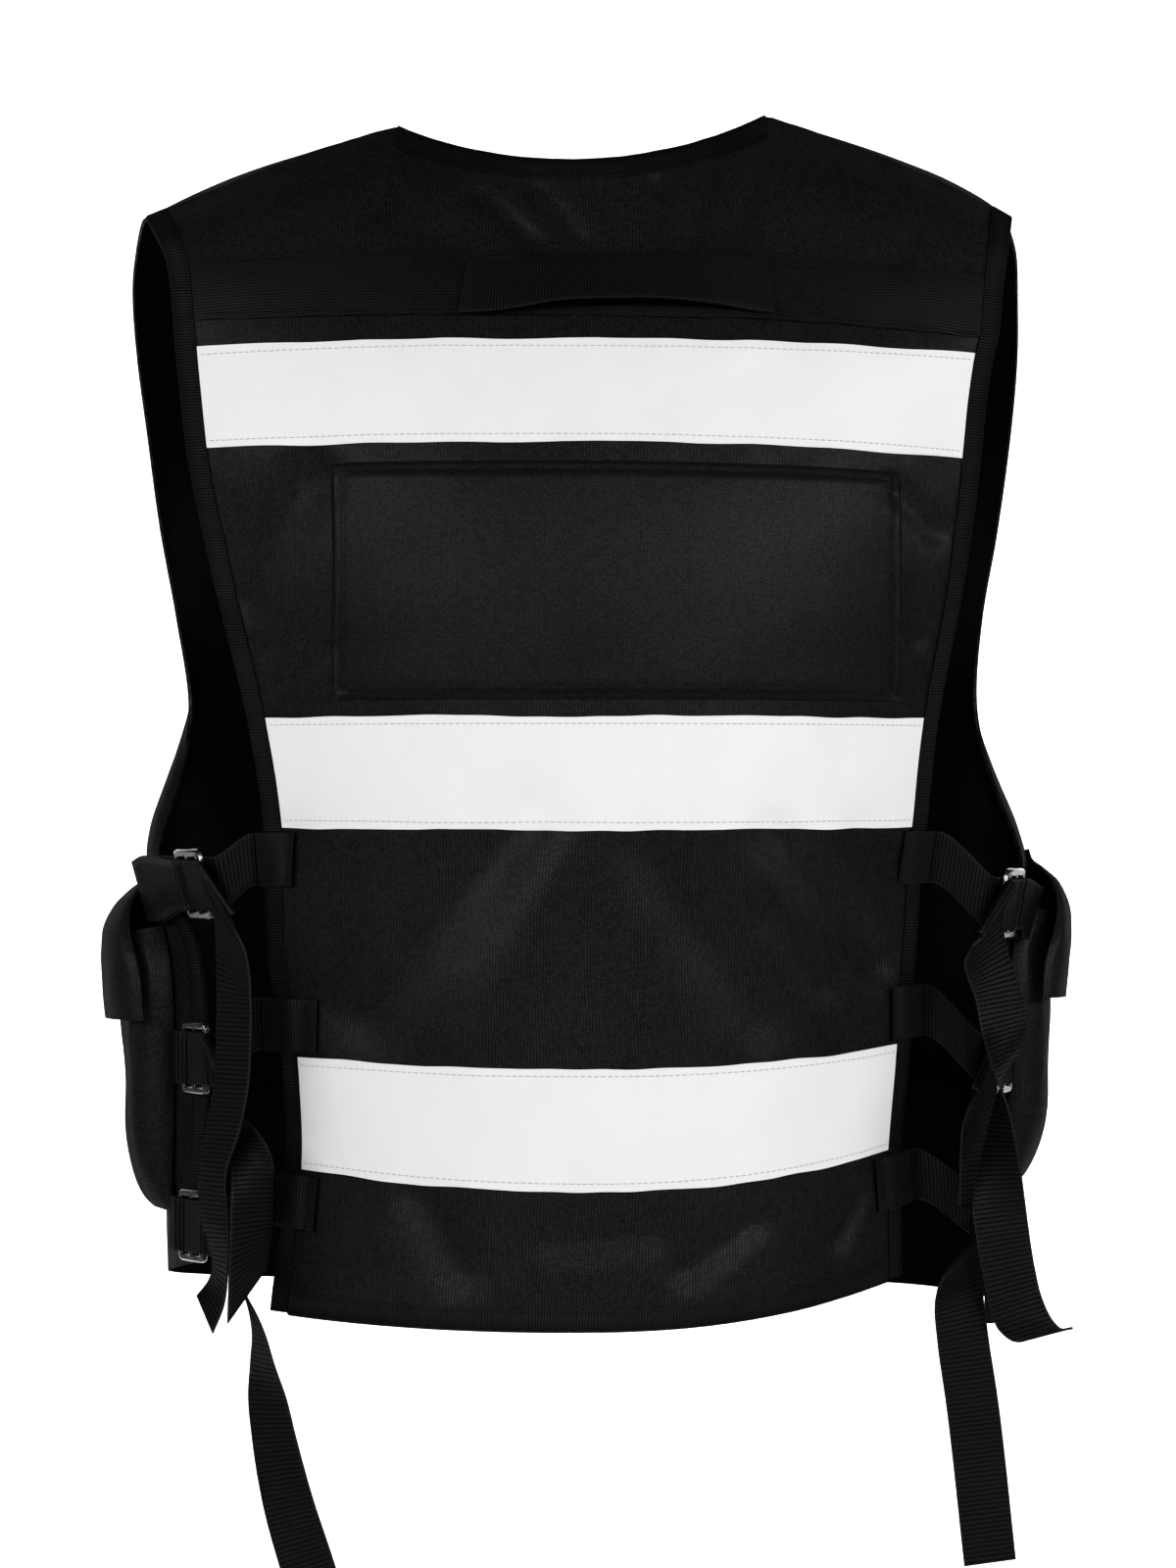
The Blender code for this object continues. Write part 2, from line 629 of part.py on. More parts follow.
def refine(pairs, steps):
    """More pairs of edge points on smooth curves through the given ones."""
    values = np.array([[*one, *other] for one, other in pairs])
    middles = (values[:, :3] + values[:, 3:]) / 2
    positions = np.concatenate([[0.0], np.cumsum(np.linalg.norm(np.diff(middles, axis=0), axis=1))])
    dense = []
    for k in range(len(pairs) - 1):
        for i in range(steps):
            where = positions[k] + (positions[k + 1] - positions[k]) * i / steps
            row = smooth_values(positions, values, where)
            dense.append((Vector(row[:3]), Vector(row[3:])))
    dense.append(pairs[-1])
    return dense


def crosswise(stations, width):
    """The two edges, the upper one first, of a band whose stations are a point of its middle line and the
    direction that its face looks to."""
    pairs = []
    for k, (point, face) in enumerate(stations):
        before = stations[max(k - 1, 0)][0]
        after = stations[min(k + 1, len(stations) - 1)][0]
        side = (after - before).cross(face).normalized() * width / 2
        side = side if side.z > 0 else -side
        pairs.append((point + side, point - side))
    return pairs


def band(name, pairs, thickness, stuff):
    """A strap between pairs of edge points."""
    middles = [(one + other) / 2 for one, other in pairs]
    sections = []
    for k, (one, other) in enumerate(pairs):
        along = middles[min(k + 1, len(pairs) - 1)] - middles[max(k - 1, 0)]
        lift = along.cross(one - other).normalized() * thickness / 2
        sections.append([one - lift, other - lift, other + lift, one + lift])
    other_face = 2
    return sweep(name, sections, stuff, (other_face,))


def folded_binding(name, edge, stuff, rim_first):
    """Tape folded round an edge of the cloth. Each station of edge holds the outer face's point on the
    edge, its point where the tape ends, and the directions that the outer face looks to at both. rim_first
    tells whether the cloth's faces under the tape are cut from the rim at one station to the inside at the
    next."""
    sections = []
    for rim, inner, rim_face, inner_face in edge:
        out = (rim - inner).normalized()
        profile = [
            (inner, inner_face, 0, GAP + TAPE),
            (rim, rim_face, GAP + TAPE, GAP + TAPE),
            (rim, rim_face, GAP + TAPE, -CLOTH - GAP - TAPE),
            (inner, inner_face, 0, -CLOTH - GAP - TAPE),
            (inner, inner_face, 0, -CLOTH - GAP),
            (rim, rim_face, GAP, -CLOTH - GAP),
            (rim, rim_face, GAP, GAP),
            (inner, inner_face, 0, GAP),
        ]
        sections.append([point + out * along + face * over for point, face, along, over in profile])
    outer_leaf, inner_leaf = 6, 4
    return sweep(name, sections, stuff, (inner_leaf,) if rim_first else (outer_leaf,))


# The cloth of the back and the fronts


def back_downs():
    """The places down the back at which it has rows of faces, with the edges of all that is sewn on it."""
    edges = [edge for span in (SHOULDER_WEBBING, PATCH_DOWN, *STRIPS.values()) for edge in span]
    return sorted({*BACK_DOWNS, *edges})


def back_columns():
    """The shares across the back at which it has its columns of faces, with the neck points among them."""
    middle = spread(-NECK_POINT, NECK_POINT, MIDDLE_COLUMNS)[1:-1]
    return [*[-u for u in reversed(OUTER_COLUMNS)], *middle, *OUTER_COLUMNS]


def make_back():
    sheet("back_panel", back_place, back_normal, back_columns(), back_downs(), -CLOTH, 0, CANVAS)


def between_columns(surface, across, down):
    """A surface's value across the back's own faces, straight between its columns."""
    columns = back_columns()
    k = int(np.clip(np.searchsorted(columns, across) - 1, 0, len(columns) - 2))
    share = (across - columns[k]) / (columns[k + 1] - columns[k])
    return surface(columns[k], down).lerp(surface(columns[k + 1], down), share)


def on_back(across, down):
    return between_columns(back_place, across, down)


def on_back_normal(across, down):
    return between_columns(back_normal, across, down).normalized()


def back_down_at(across, z):
    """How far down the back reaches this height at a share across it."""
    low, high = float(BACK_ROWS[0].down), float(BACK_ROWS[-1].down)
    for _ in range(30):
        middle = (low + high) / 2
        if back_place(across, middle).z > z:
            low = middle
        else:
            high = middle
    return (low + high) / 2


def make_front(side):
    place = lambda u, v: front_place(side, u, v)
    normal = lambda u, v: front_normal(side, u, v)
    rows = sorted([0, 0.5, *range(1, HEM_ROW + 1), UNDERARM_ROW + 0.5])
    sheet(f"front_panel_{side}", place, normal, FRONT_COLUMNS, rows, -CLOTH, 0, CANVAS)


def make_zip():
    """The zip: tape behind both fronts, with the closed chain standing up between them."""
    sections = []
    for row in spread(ZIP_ROW, HEM_ROW, ZIP_SECTIONS):
        left, right = front_place("left", 0, row), front_place("right", 0, row)
        edge = (left + right) / 2
        back = -CLOTH - GAP
        profile = [
            (-ZIP_TAPE / 2, back - TAPE),
            (ZIP_TAPE / 2, back - TAPE),
            (ZIP_TAPE / 2, back),
            (ZIP_CHAIN / 2, back),
            (ZIP_CHAIN / 2, ZIP_STAND),
            (-ZIP_CHAIN / 2, ZIP_STAND),
            (-ZIP_CHAIN / 2, back),
            (-ZIP_TAPE / 2, back),
        ]
        sections.append([Vector((x, edge.y + y, edge.z)) for x, y in profile])
    sweep("front_zip", sections, WEB)


# Bindings


def edge_station(place, normal, edge, inner):
    """A station of a binding: edge and inner are the surface values on the edge and where the tape ends."""
    return place(*edge), place(*inner), normal(*edge), normal(*inner)


def make_back_bindings():
    downs = back_downs()
    for side, sign in (("left", -1), ("right", 1)):
        edge = [edge_station(back_place, back_normal, (sign, d), (sign * SIDE_LINE, d)) for d in downs]
        folded_binding(f"armhole_binding_{side}", edge, BINDING, rim_first=side == "left")
    neck = [u for u in back_columns() if abs(u) < NECK_POINT]
    neck = [SEAM_GAP - NECK_POINT, *neck, NECK_POINT - SEAM_GAP]
    edge = [edge_station(on_back, on_back_normal, (u, downs[0]), (u, downs[1])) for u in neck]
    folded_binding("neck_binding_back", edge, BINDING, rim_first=True)
    end = strip_end(downs[-1])
    hem = [-end, *[u for u in back_columns() if abs(u) < SIDE_LINE], end]
    edge = [edge_station(on_back, on_back_normal, (u, downs[-1]), (u, downs[-2])) for u in hem]
    folded_binding("hem_binding", edge, BINDING, rim_first=False)


def make_front_bindings(side):
    place = lambda u, v: front_place(side, u, v)
    normal = lambda u, v: front_normal(side, u, v)
    rows = [UNDERARM_ROW + 0.5, *range(UNDERARM_ROW + 1, HEM_ROW + 1)]
    edge = [edge_station(place, normal, (1.0, v), (FRONT_LINE, v)) for v in rows]
    folded_binding(f"front_edge_binding_{side}", edge, BINDING, rim_first=False)


# What is sewn on the back and the fronts


def columns_between(low, high):
    """The back's own columns between two shares, with both ends."""
    return [low, *[u for u in back_columns() if low + 0.01 < u < high - 0.01], high]


def strip_end(down):
    """The share across the back at which a strip meets the side binding."""
    row = BackRow(*smooth_values(BACK_POSITIONS, BACK_VALUES, down))
    return SIDE_LINE - 4 * GAP / (row.right - row.left)


def make_back_strips():
    bands = {f"reflective_strip_{name}": (span, REFLECTIVE, STRIP_CLOTH) for name, span in STRIPS.items()}
    bands["shoulder_webbing"] = (SHOULDER_WEBBING, WEB, WEBBING)
    for name, (span, stuff, thickness) in bands.items():
        low, high = span
        downs = [low, *[d for d in back_downs() if low < d < high], high]
        end = min(strip_end(low), strip_end(high))
        us = columns_between(-end, end)
        sheet(name, on_back, on_back_normal, us, downs, GAP, GAP + thickness, stuff)


def make_patch():
    """The plain panel between two strips. Its sides are upright, so each row has its own end columns."""
    low, high = PATCH_DOWN
    downs = [d for d in back_downs() if low <= d <= high]
    first = max(back_across(PATCH_LEFT, down) for down in downs)
    last = min(back_across(PATCH_RIGHT, down) for down in downs)
    middle = [u for u in back_columns() if first + 0.02 < u < last - 0.02]
    rows = [[back_across(PATCH_LEFT, d), *middle, back_across(PATCH_RIGHT, d)] for d in downs]
    grids = []
    for height in (LOOSE_GAP + PATCH_CLOTH, LOOSE_GAP):
        grids.append([
            [on_back(u, d) + on_back_normal(u, d) * height for u in row] for d, row in zip(downs, rows)
        ])
    slab("patch_panel", *grids, CANVAS)


def make_handle():
    stations = []
    for row in HANDLE_ROWS:
        down = -row.z
        across = back_across(row.x, down)
        face = back_normal(across, down)
        stand = GAP + WEBBING + row.out
        point = back_place(across, down) + face * stand
        tilted = (face + Vector((0, 0, -math.tan(math.radians(row.tilt))))).normalized()
        stations.append((point, tilted))
    band("drag_handle", refine(crosswise(stations, HANDLE_WIDTH), 2), WEBBING, WEB)


def make_front_strip(side):
    low, high = FRONT_STRIP_DOWN
    first, last = FRONT_STRIP_ACROSS
    us = [first, *[u for u in FRONT_COLUMNS if first < u < last], last]
    place = lambda u, z: front_place(side, u, front_row_at(side, u, z))
    normal = lambda u, z: front_normal(side, u, front_row_at(side, u, z))
    zs = [POCKET_LIFT[side] - z for z in spread(low, high, 4)]
    sheet(f"front_strip_{side}", place, normal, us, zs, LOOSE_GAP, LOOSE_GAP + STRIP_CLOTH, REFLECTIVE)


# Pockets


def rounded(share, power=2.6, root=2.2):
    """The height of a bulge across its width: 0 at shares 0 and 1, and 1 in the middle."""
    return max(0.0, 1 - abs(2 * share - 1) ** power) ** (1 / root)


def offset_grid(grid, distance):
    """The same grid moved by a distance along its own outward directions."""
    points = np.array([[tuple(p) for p in row] for row in grid])
    down, across = np.gradient(points, axis=0), np.gradient(points, axis=1)
    normals = np.cross(across, down)
    normals /= np.linalg.norm(normals, axis=2)[:, :, None]
    middle = len(grid) // 2, len(grid[0]) // 2
    if np.dot(normals[middle], points[middle] - np.array(TORSO_CENTRE)) < 0:
        normals = -normals
    moved = points + distance * normals
    return [[Vector(p) for p in row] for row in moved]


def make_pocket(side):
    """A bag of cloth sewn on a front half, open at its top under the flap."""
    first, last = POCKET_ACROSS
    top, bottom = POCKET_TOP + POCKET_LIFT[side], POCKET_BOTTOM + POCKET_LIFT[side]
    shares = [(1 - math.cos(math.pi * i / POCKET_STEPS)) / 2 for i in range(POCKET_STEPS + 1)]

    def place(share, height):
        across = first + (last - first) * share
        below = max(0.0, height - POCKET_FLOOR) / (1 - POCKET_FLOOR)
        bulge = rounded(share) * rounded((1 + below) / 2)
        stand = POCKET_RIM + (POCKET_STAND - POCKET_RIM) * bulge
        return over_front(side, across, top + (bottom - top) * height, stand)

    outer = [[place(s, h) for s in shares] for h in POCKET_HEIGHTS]
    slab(f"pocket_{side}", outer, offset_grid(outer, -POCKET_CLOTH), CANVAS)


def make_flap(side):
    """The pocket's flap: it leaves the front over the pocket, turns over and hangs down outside it."""
    first, last = FLAP_ACROSS
    outer = []
    for height, stand in FLAP_ROWS:
        row_points = []
        for share in spread(0, 1, FLAP_COLUMNS):
            across = first + (last - first) * share
            reach = FLAP_SIDE_REACH + (1 - FLAP_SIDE_REACH) * rounded(share, 4.0, 2.0)
            over = FLAP_ROWS[0][1] + (stand - FLAP_ROWS[0][1]) * reach
            row_points.append(over_front(side, across, height + POCKET_LIFT[side], over))
        outer.append(row_points)
    slab(f"pocket_flap_{side}", outer, offset_grid(outer, -FLAP_CLOTH), CANVAS)


# Side straps and adjusters


def fitting_frame(fitting):
    """The middle of an adjuster, and its directions forward along the strap, along its bars and outwards."""
    out = level_direction(fitting.turn)
    sign = 1 if fitting.side == "right" else -1
    up = Vector((0, 0, 1))
    forward = up.cross(out) * sign
    lean = math.radians(fitting.lean)
    bars = up * math.cos(lean) + out * math.sin(lean)
    out = out * math.cos(lean) - up * math.sin(lean)
    return Vector((fitting.x, fitting.y, fitting.z)), forward, bars, out


def make_adjuster(fitting):
    """A plastic frame with two slots, made of square cells."""
    middle, forward, bars, out = fitting_frame(fitting)
    wide, long = FRAME_WIDE / 2, FRAME_LONG / 2
    slot = STRAP_WIDTH / 2 + SLOT_PLAY
    us = [-wide, -wide + BAR, -MIDDLE_BAR / 2, MIDDLE_BAR / 2, wide - BAR, wide]
    vs = [-long, -slot, slot, long]
    holes = {(1, 1), (3, 1)}
    points, index = [], {}
    for level, height in enumerate((-FRAME_HALF, FRAME_HALF)):
        for i, u in enumerate(us):
            for j, v in enumerate(vs):
                outer_corner = i in (0, 5) and j in (0, 3)
                cut = CORNER_CUT if outer_corner else 0.0
                index[level, i, j] = len(points)
                uu, vv = u - math.copysign(cut, u), v - math.copysign(cut, v)
                points.append(middle + forward * uu + bars * vv + out * height)
    cells = {(i, j) for i in range(5) for j in range(3)} - holes
    triangles = []
    for i, j in sorted(cells):
        ring = [(i, j), (i + 1, j), (i + 1, j + 1), (i, j + 1)]
        triangles += split(*[index[1, a, b] for a, b in ring])
        triangles += split(*[index[0, a, b] for a, b in reversed(ring)])
        beside = [(i, j - 1), (i + 1, j), (i, j + 1), (i - 1, j)]
        for k in range(4):
            if beside[k] not in cells:
                a, b = ring[k], ring[(k + 1) % 4]
                triangles += split(index[0, *a], index[0, *b], index[1, *b], index[1, *a])
    make_object(f"buckle_{fitting.side}_{fitting.level}", points, triangles, PLASTIC)


def make_buckle_loop(fitting):
    """Webbing sewn on the front half, that goes round the adjuster's front bar and back."""
    middle, forward, bars, out = fitting_frame(fitting)
    level = fitting.z + LOOP_DROP[fitting.level]
    upper, lower = level + STRAP_WIDTH / 2, level - STRAP_WIDTH / 2

    def sewn(across, stand):
        return tuple(over_front(fitting.side, across, z, stand) for z in (upper, lower))

    half = bars * STRAP_WIDTH / 2
    turn = [middle + forward * u + out * n for u, n in LOOP_ROWS]
    stand = LOOP_STAND[fitting.level]
    pairs = [sewn(across, stand) for across in LOOP_SEWN_UNDER]
    pairs += [(point + half, point - half) for point in turn]
    pairs += [sewn(across, stand + LAYER_STEP) for across in LOOP_SEWN_OVER]
    band(f"buckle_loop_{fitting.side}_{fitting.level}", pairs, WEBBING, WEB)


def tab_stations(fitting):
    """The tab's middle line: on the cloth, over the binding, and out past the edge."""
    sign = 1 if fitting.side == "right" else -1
    down = back_down_at(sign, fitting.tab)
    row = BackRow(*smooth_values(BACK_POSITIONS, BACK_VALUES, down))
    half = (row.right - row.left) / 2
    on_cloth = TAB_STAND + WEBBING / 2
    on_binding = on_cloth + GAP + TAPE
    stations = []
    for inwards, height in [
        (fitting.inwards, on_cloth),
        (SIDE_BINDING + 2.0, on_cloth),
        (SIDE_BINDING - 0.5, on_binding),
        (1.0, on_binding),
    ]:
        across = sign * (1 - inwards / half)
        face = on_back_normal(across, down)
        stations.append((on_back(across, down) + face * height, face))
    point, inner, face, _ = edge_station(back_place, back_normal, (sign, down), (sign * SIDE_LINE, down))
    out = (point - inner).normalized()
    stations.append((point + out * fitting.outwards + face * (on_binding - GAP), face))
    return stations, out


def make_tab(fitting):
    stations, _ = tab_stations(fitting)
    band(f"strap_tab_{fitting.side}_{fitting.level}", crosswise(stations, TAB_HEIGHT), WEBBING, WEB)


def make_side_strap(fitting):
    """An adjusting strap: from its tab to the adjuster, round the middle bar, and down as a hanging tail."""
    middle, forward, bars, out = fitting_frame(fitting)
    stations, past_edge = tab_stations(fitting)
    end, face = stations[-1]
    start = [(end + past_edge * step, face) for step in (2 * GAP, 2 * GAP + WEBBING)]
    half = bars * STRAP_WIDTH / 2
    wrap = [middle + forward * u + out * n for u, n in WRAP_ROWS]
    pairs = crosswise(start, STRAP_WIDTH)
    pairs += [(point + half, point - half) for point in wrap]
    pairs += [(Vector(row[:3]), Vector(row[3:])) for row in TAILS[fitting.side, fitting.level]]
    band(f"side_strap_{fitting.side}_{fitting.level}", refine(pairs, 2), WEBBING, WEB)


# The whole vest


def build():
    for old in list(bpy.data.objects):
        bpy.data.objects.remove(old)
    make_back()
    make_back_bindings()
    make_back_strips()
    make_patch()
    make_handle()
    make_zip()
    for side in ("left", "right"):
        make_front(side)
        make_front_bindings(side)
        make_front_strip(side)
        make_pocket(side)
        make_flap(side)
    for fitting in FITTINGS:
        make_adjuster(fitting)
        make_buckle_loop(fitting)
        make_tab(fitting)
        make_side_strap(fitting)


build()
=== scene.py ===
"""The looks of a black work vest with white reflective strips, as it is worn.

The tables are in millimetres, apart from the folds' crest lines, which are in the photo's pixels. The scene is
in metres. +Z is up, the back of the vest looks towards -Y, and the wearer's left is towards -X. Every piece
stands where the solid that it replaces stands.
"""

import math
from collections import namedtuple

import bmesh
import bpy
import numpy as np
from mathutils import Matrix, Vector

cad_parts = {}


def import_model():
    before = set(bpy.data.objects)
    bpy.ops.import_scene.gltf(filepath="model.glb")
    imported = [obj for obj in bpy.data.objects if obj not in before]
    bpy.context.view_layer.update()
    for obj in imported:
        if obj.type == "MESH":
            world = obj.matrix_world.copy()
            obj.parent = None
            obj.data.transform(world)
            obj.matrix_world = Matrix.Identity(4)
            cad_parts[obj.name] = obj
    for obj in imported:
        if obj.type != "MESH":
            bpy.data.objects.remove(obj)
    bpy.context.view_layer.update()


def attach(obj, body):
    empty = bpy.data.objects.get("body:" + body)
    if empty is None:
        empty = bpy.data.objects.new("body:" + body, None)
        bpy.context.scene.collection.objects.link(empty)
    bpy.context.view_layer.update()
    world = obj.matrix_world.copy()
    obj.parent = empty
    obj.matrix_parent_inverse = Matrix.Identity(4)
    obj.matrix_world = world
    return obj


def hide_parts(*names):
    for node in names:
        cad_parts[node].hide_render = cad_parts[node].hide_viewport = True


MM = 0.001

# Cloth, tape and webbing
CLOTH = 2.0
GAP = 0.35
TAPE = 0.9
TAPE_CLOTH = 0.6
WEBBING = 1.3
STRAP_WIDTH = 25.0
SIDE_BINDING = 8.0

# The back, one row for each section from the neckline down to the hem. down and depth are the place of the
# middle, edge_drop and edge_depth that of both edges, peak_up and peak_forward raise the two neck points,
# left and right are the edges' x, and lift_left and lift_right pull the edges up.
BackRow = namedtuple(
    "BackRow", "down depth edge_drop edge_depth peak_up peak_forward left right lift_left lift_right"
)
BACK_ROWS = [
    BackRow(2, 48, 22, 10, 27, 37, -209, 202, 0, 0),
    BackRow(20, 58, 14, 26, 18, 18, -205, 198, 0, -1),
    BackRow(48, 71, 3, 38, 2, 5, -199, 193, 0, -5),
    BackRow(78, 83, 0, 44, 0, 1, -196, 189, 0, -6),
    BackRow(89, 87, 2, 45, 0, 0, -195, 187, 0, 0),
    BackRow(110, 93, 2, 48, 0, 0, -193, 183, 0, -1),
    BackRow(137, 99, 1, 49, 0, 0, -190, 180, 0, -3),
    BackRow(200, 106, 0, 48, 0, 0, -177, 172, 0, 0),
    BackRow(262, 106, 0, 43, 0, 0, -162, 161, 0, 0),
    BackRow(314, 103, 0, 39, 0, 0, -154, 156, 1, 1),
    BackRow(365, 100, 0, 37, 0, 0, -153, 152, 1, 3),
    BackRow(423, 98, 0, 35, 0, 0, -146, 149, 3, 8),
    BackRow(479, 98, 0, 34, 0, 0, -144, 145, 7, 15),
    BackRow(542, 100, 0, 34, 0, 0, -151, 145, 3, 17),
]
BACK_ROUNDING = 2.4
NECK_POINT = 0.43
SIDE_LINE = 0.955
NECK_LINE = 11.0
HEM_LINE = 533.0

# The right shoulder is a little higher than the left.
SHOULDER_LEAN = 3.4
LEAN_SPAN = 88.0
LEAN_FADE = (-50.0, -5.0)

# Soft folds in the back, as crest lines read from the photo: both ends in its pixels, how deep the
# fold dents the cloth, and its half width
Crest = namedtuple("Crest", "across1 down1 across2 down2 height spread")
CRESTS = [
    Crest(540, 830, 375, 1035, 3.2, 17),
    Crest(590, 850, 480, 1060, -1.4, 16),
    Crest(430, 870, 320, 1010, 1.5, 14),
    Crest(300, 855, 262, 930, 2.2, 12),
    Crest(793, 844, 913, 989, 2.8, 10.5),
    Crest(900, 845, 950, 900, 2.0, 12),
    Crest(650, 860, 780, 1040, 1.2, 14),
    Crest(790, 940, 850, 1010, 0.9, 9),
    Crest(318, 490, 248, 600, 3.0, 14),
    Crest(285, 690, 335, 655, 1.2, 9),
    Crest(925, 495, 972, 535, 1.6, 7),
    Crest(943, 600, 955, 645, 1.3, 6),
    Crest(500, 190, 552, 248, 2.6, 7),
    Crest(557, 188, 597, 248, 2.3, 7),
    Crest(622, 188, 640, 248, 1.3, 6),
    Crest(680, 185, 681, 248, 1.9, 5),
    Crest(735, 172, 714, 245, 2.2, 7),
    Crest(790, 168, 760, 236, 1.8, 7),
    Crest(952, 222, 930, 260, 1.1, 6),
    Crest(400, 190, 465, 245, 1.3, 10),
    Crest(430, 1225, 470, 1300, 1.1, 10),
    Crest(570, 1270, 670, 1262, 1.0, 9),
    Crest(705, 1300, 770, 1255, 1.3, 8),
    Crest(868, 1275, 893, 1232, 1.6, 7),
    Crest(286, 1240, 300, 1310, 1.3, 6),
]
# The photo's middle in pixels, the place on the back that it shows, and a pixel's size there. The yoke leans
# away from the camera, so that a pixel covers a little more of it.
PHOTO_MIDDLE = (600, 800)
MIDDLE_X = -8.8
MIDDLE_Z = -293
PIXEL = (0.4464, 0.4447)
YOKE_PIXEL = (0.455, 0.452)
YOKE_ENDS = 300

FOLD_DEPTH = 2.2

# One front half, one row for each section from the shoulder down to the hem, with x away from the middle.
# in is the neckline or zip edge, front and side steer the curve between, and out is the armhole or rear edge.
# The right half's outer edge is wider and lower by the last two columns.
FrontRow = namedtuple(
    "FrontRow", "in_x in_y in_z front_x front_y side_x side_y out_x out_y out_z wider_right lower_right"
)
FRONT_ROWS = [
    FrontRow(90, 8, 23, 130, 6, 172, 5, 212, 6, -24, -8, 0),
    FrontRow(87, 28, 15, 130, 30, 175, 29, 215, 27, -36, -3, 0),
    FrontRow(82, 50, -4, 128, 58, 178, 54, 217, 45, -56, -1, 0),
    FrontRow(74, 70, -34, 122, 84, 180, 78, 215, 58, -86, 3, 0),
    FrontRow(60, 86, -66, 115, 102, 180, 98, 210, 67, -124, 6, 0),
    FrontRow(36, 97, -94, 105, 115, 178, 108, 204, 74, -168, 7, 0),
    FrontRow(4, 105, -116, 95, 122, 174, 112, 196, 78, -212, 8, 0),
    FrontRow(4, 111, -165, 110, 126, 184, 112, 190, 75, -255, 11, 0),
    FrontRow(4, 115, -220, 125, 128, 208, 106, 195, 60, -292, 12, 0),
    FrontRow(4, 117, -275, 140, 127, 228, 96, 204, 36, -323, 11, 0),
    FrontRow(4, 118, -325, 152, 125, 238, 80, 201, 12, -341, 10, 0),
    FrontRow(4, 118, -375, 160, 124, 238, 68, 186, -2, -375, 10, 0),
    FrontRow(4, 117, -430, 160, 123, 238, 66, 183, -4, -428, 10, 3),
    FrontRow(4, 116, -490, 160, 122, 238, 66, 184, -4, -479, 9, 14),
    FrontRow(4, 115, -545, 158, 121, 236, 66, 184, -3, -519, 10, 33),
]
TIP_ROUNDING = (0.78, 0.22, 5)
FRONT_LINE = 0.97
ZIP_ROW = 7
UNDERARM_ROW = 11
HEM_ROW = len(FRONT_ROWS)
TORSO_CENTRE = np.array([0.0, 20.0, -250.0])

# What is sewn on the back, by its distance down from the origin at the middle of the back
SHOULDER_WEBBING = (48, 78)
STRIPS = {"upper": (89, 137), "middle": (262, 314), "lower": (423, 479)}
PATCH_DOWN = (146, 254)
PATCH_LEFT = -124.0
PATCH_RIGHT = 139.0
PATCH_CLOTH = 2.4
PATCH_SEAM = 1.1
PATCH_INSET = 4.2
PATCH_STAND = 0.7
FRONT_STRIP_DOWN = (283.0, 333.0)
FRONT_STRIP_ACROSS = (0.04, 0.74)

# The handle, a second webbing: x, how far it is from the webbing under it, its height and its tilt
HandleRow = namedtuple("HandleRow", "x out z tilt")
HANDLE_ROWS = [
    HandleRow(-64, 1.4, -65, 0),
    HandleRow(-52, 4.2, -66.5, -8),
    HandleRow(-40, 6.2, -66.5, -16),
    HandleRow(-22, 8.0, -65, -25),
    HandleRow(0, 8.8, -64, -24),
    HandleRow(24, 8.8, -63, -19),
    HandleRow(46, 7.2, -62.5, -8),
    HandleRow(60, 4.6, -62, 0),
    HandleRow(70, 2.2, -62, 0),
    HandleRow(78, 1.4, -62, 0),
]
HANDLE_WIDTH = 29.0

# The adjusters and the tabs that their straps start from. tab is the height of the tab, inwards how far it
# reaches on the back, outwards how far past the edge, and x, y, z, turn and lean place the adjuster, whose
# top leans outwards by the lean.
Fitting = namedtuple("Fitting", "side level tab inwards outwards x y z turn lean")
FITTINGS = [
    Fitting("left", "top", -328, 13, 4, -187.0, -17.0, -340, -60, 15),
    Fitting("left", "middle", -405, 18, 8, -186.5, -11.5, -422, -60, 0),
    Fitting("left", "bottom", -487, 15, 4, -187.8, -11.5, -501, -60, 0),
    Fitting("right", "top", -327, 12, 4, 200.5, -17.0, -350, 60, 10),
    Fitting("right", "middle", -400, 12, 5, 197.5, -11.5, -424, 60, 0),
    Fitting("right", "bottom", -479, 14, 6, 197.5, -11.5, -498, 60, 0),
]
TAB_HEIGHT = 25.4
TAB_STAND = 0.9
FRAME_LONG = 34.0
FRAME_WIDE = 22.0
FRAME_HALF = 1.8
BAR = 3.0
MIDDLE_BAR = 3.0

# The loops that hold the adjusters, as shares of a front half, and their way round the front bar
LOOP_SEWN_UNDER = (0.925, 0.95, 0.97)
LOOP_SEWN_OVER = (0.965, 0.945, 0.925)
LOOP_STAND = {"top": 6.6, "middle": 2.8, "bottom": 2.8}
LAYER_STEP = 2.15
LOOP_DROP = {"top": -4.0, "middle": 0.0, "bottom": 0.0}
LOOP_ROWS = [(10.5, -3.1), (8.2, -3.1), (6.9, -2.1), (6.6, 0), (6.9, 2.1), (8.2, 3.1), (13.0, 3.1)]

# How a strap goes round the adjuster's middle bar: along the strap, and outwards
WRAP_ROWS = [
    (-17, -3.1),
    (-9, -3.1),
    (-1, -3.1),
    (2.8, -2.4),
    (4.2, 0),
    (2.8, 2.4),
    (-1, 3.1),
    (-9, 3.1),
    (-13, 3.3),
]
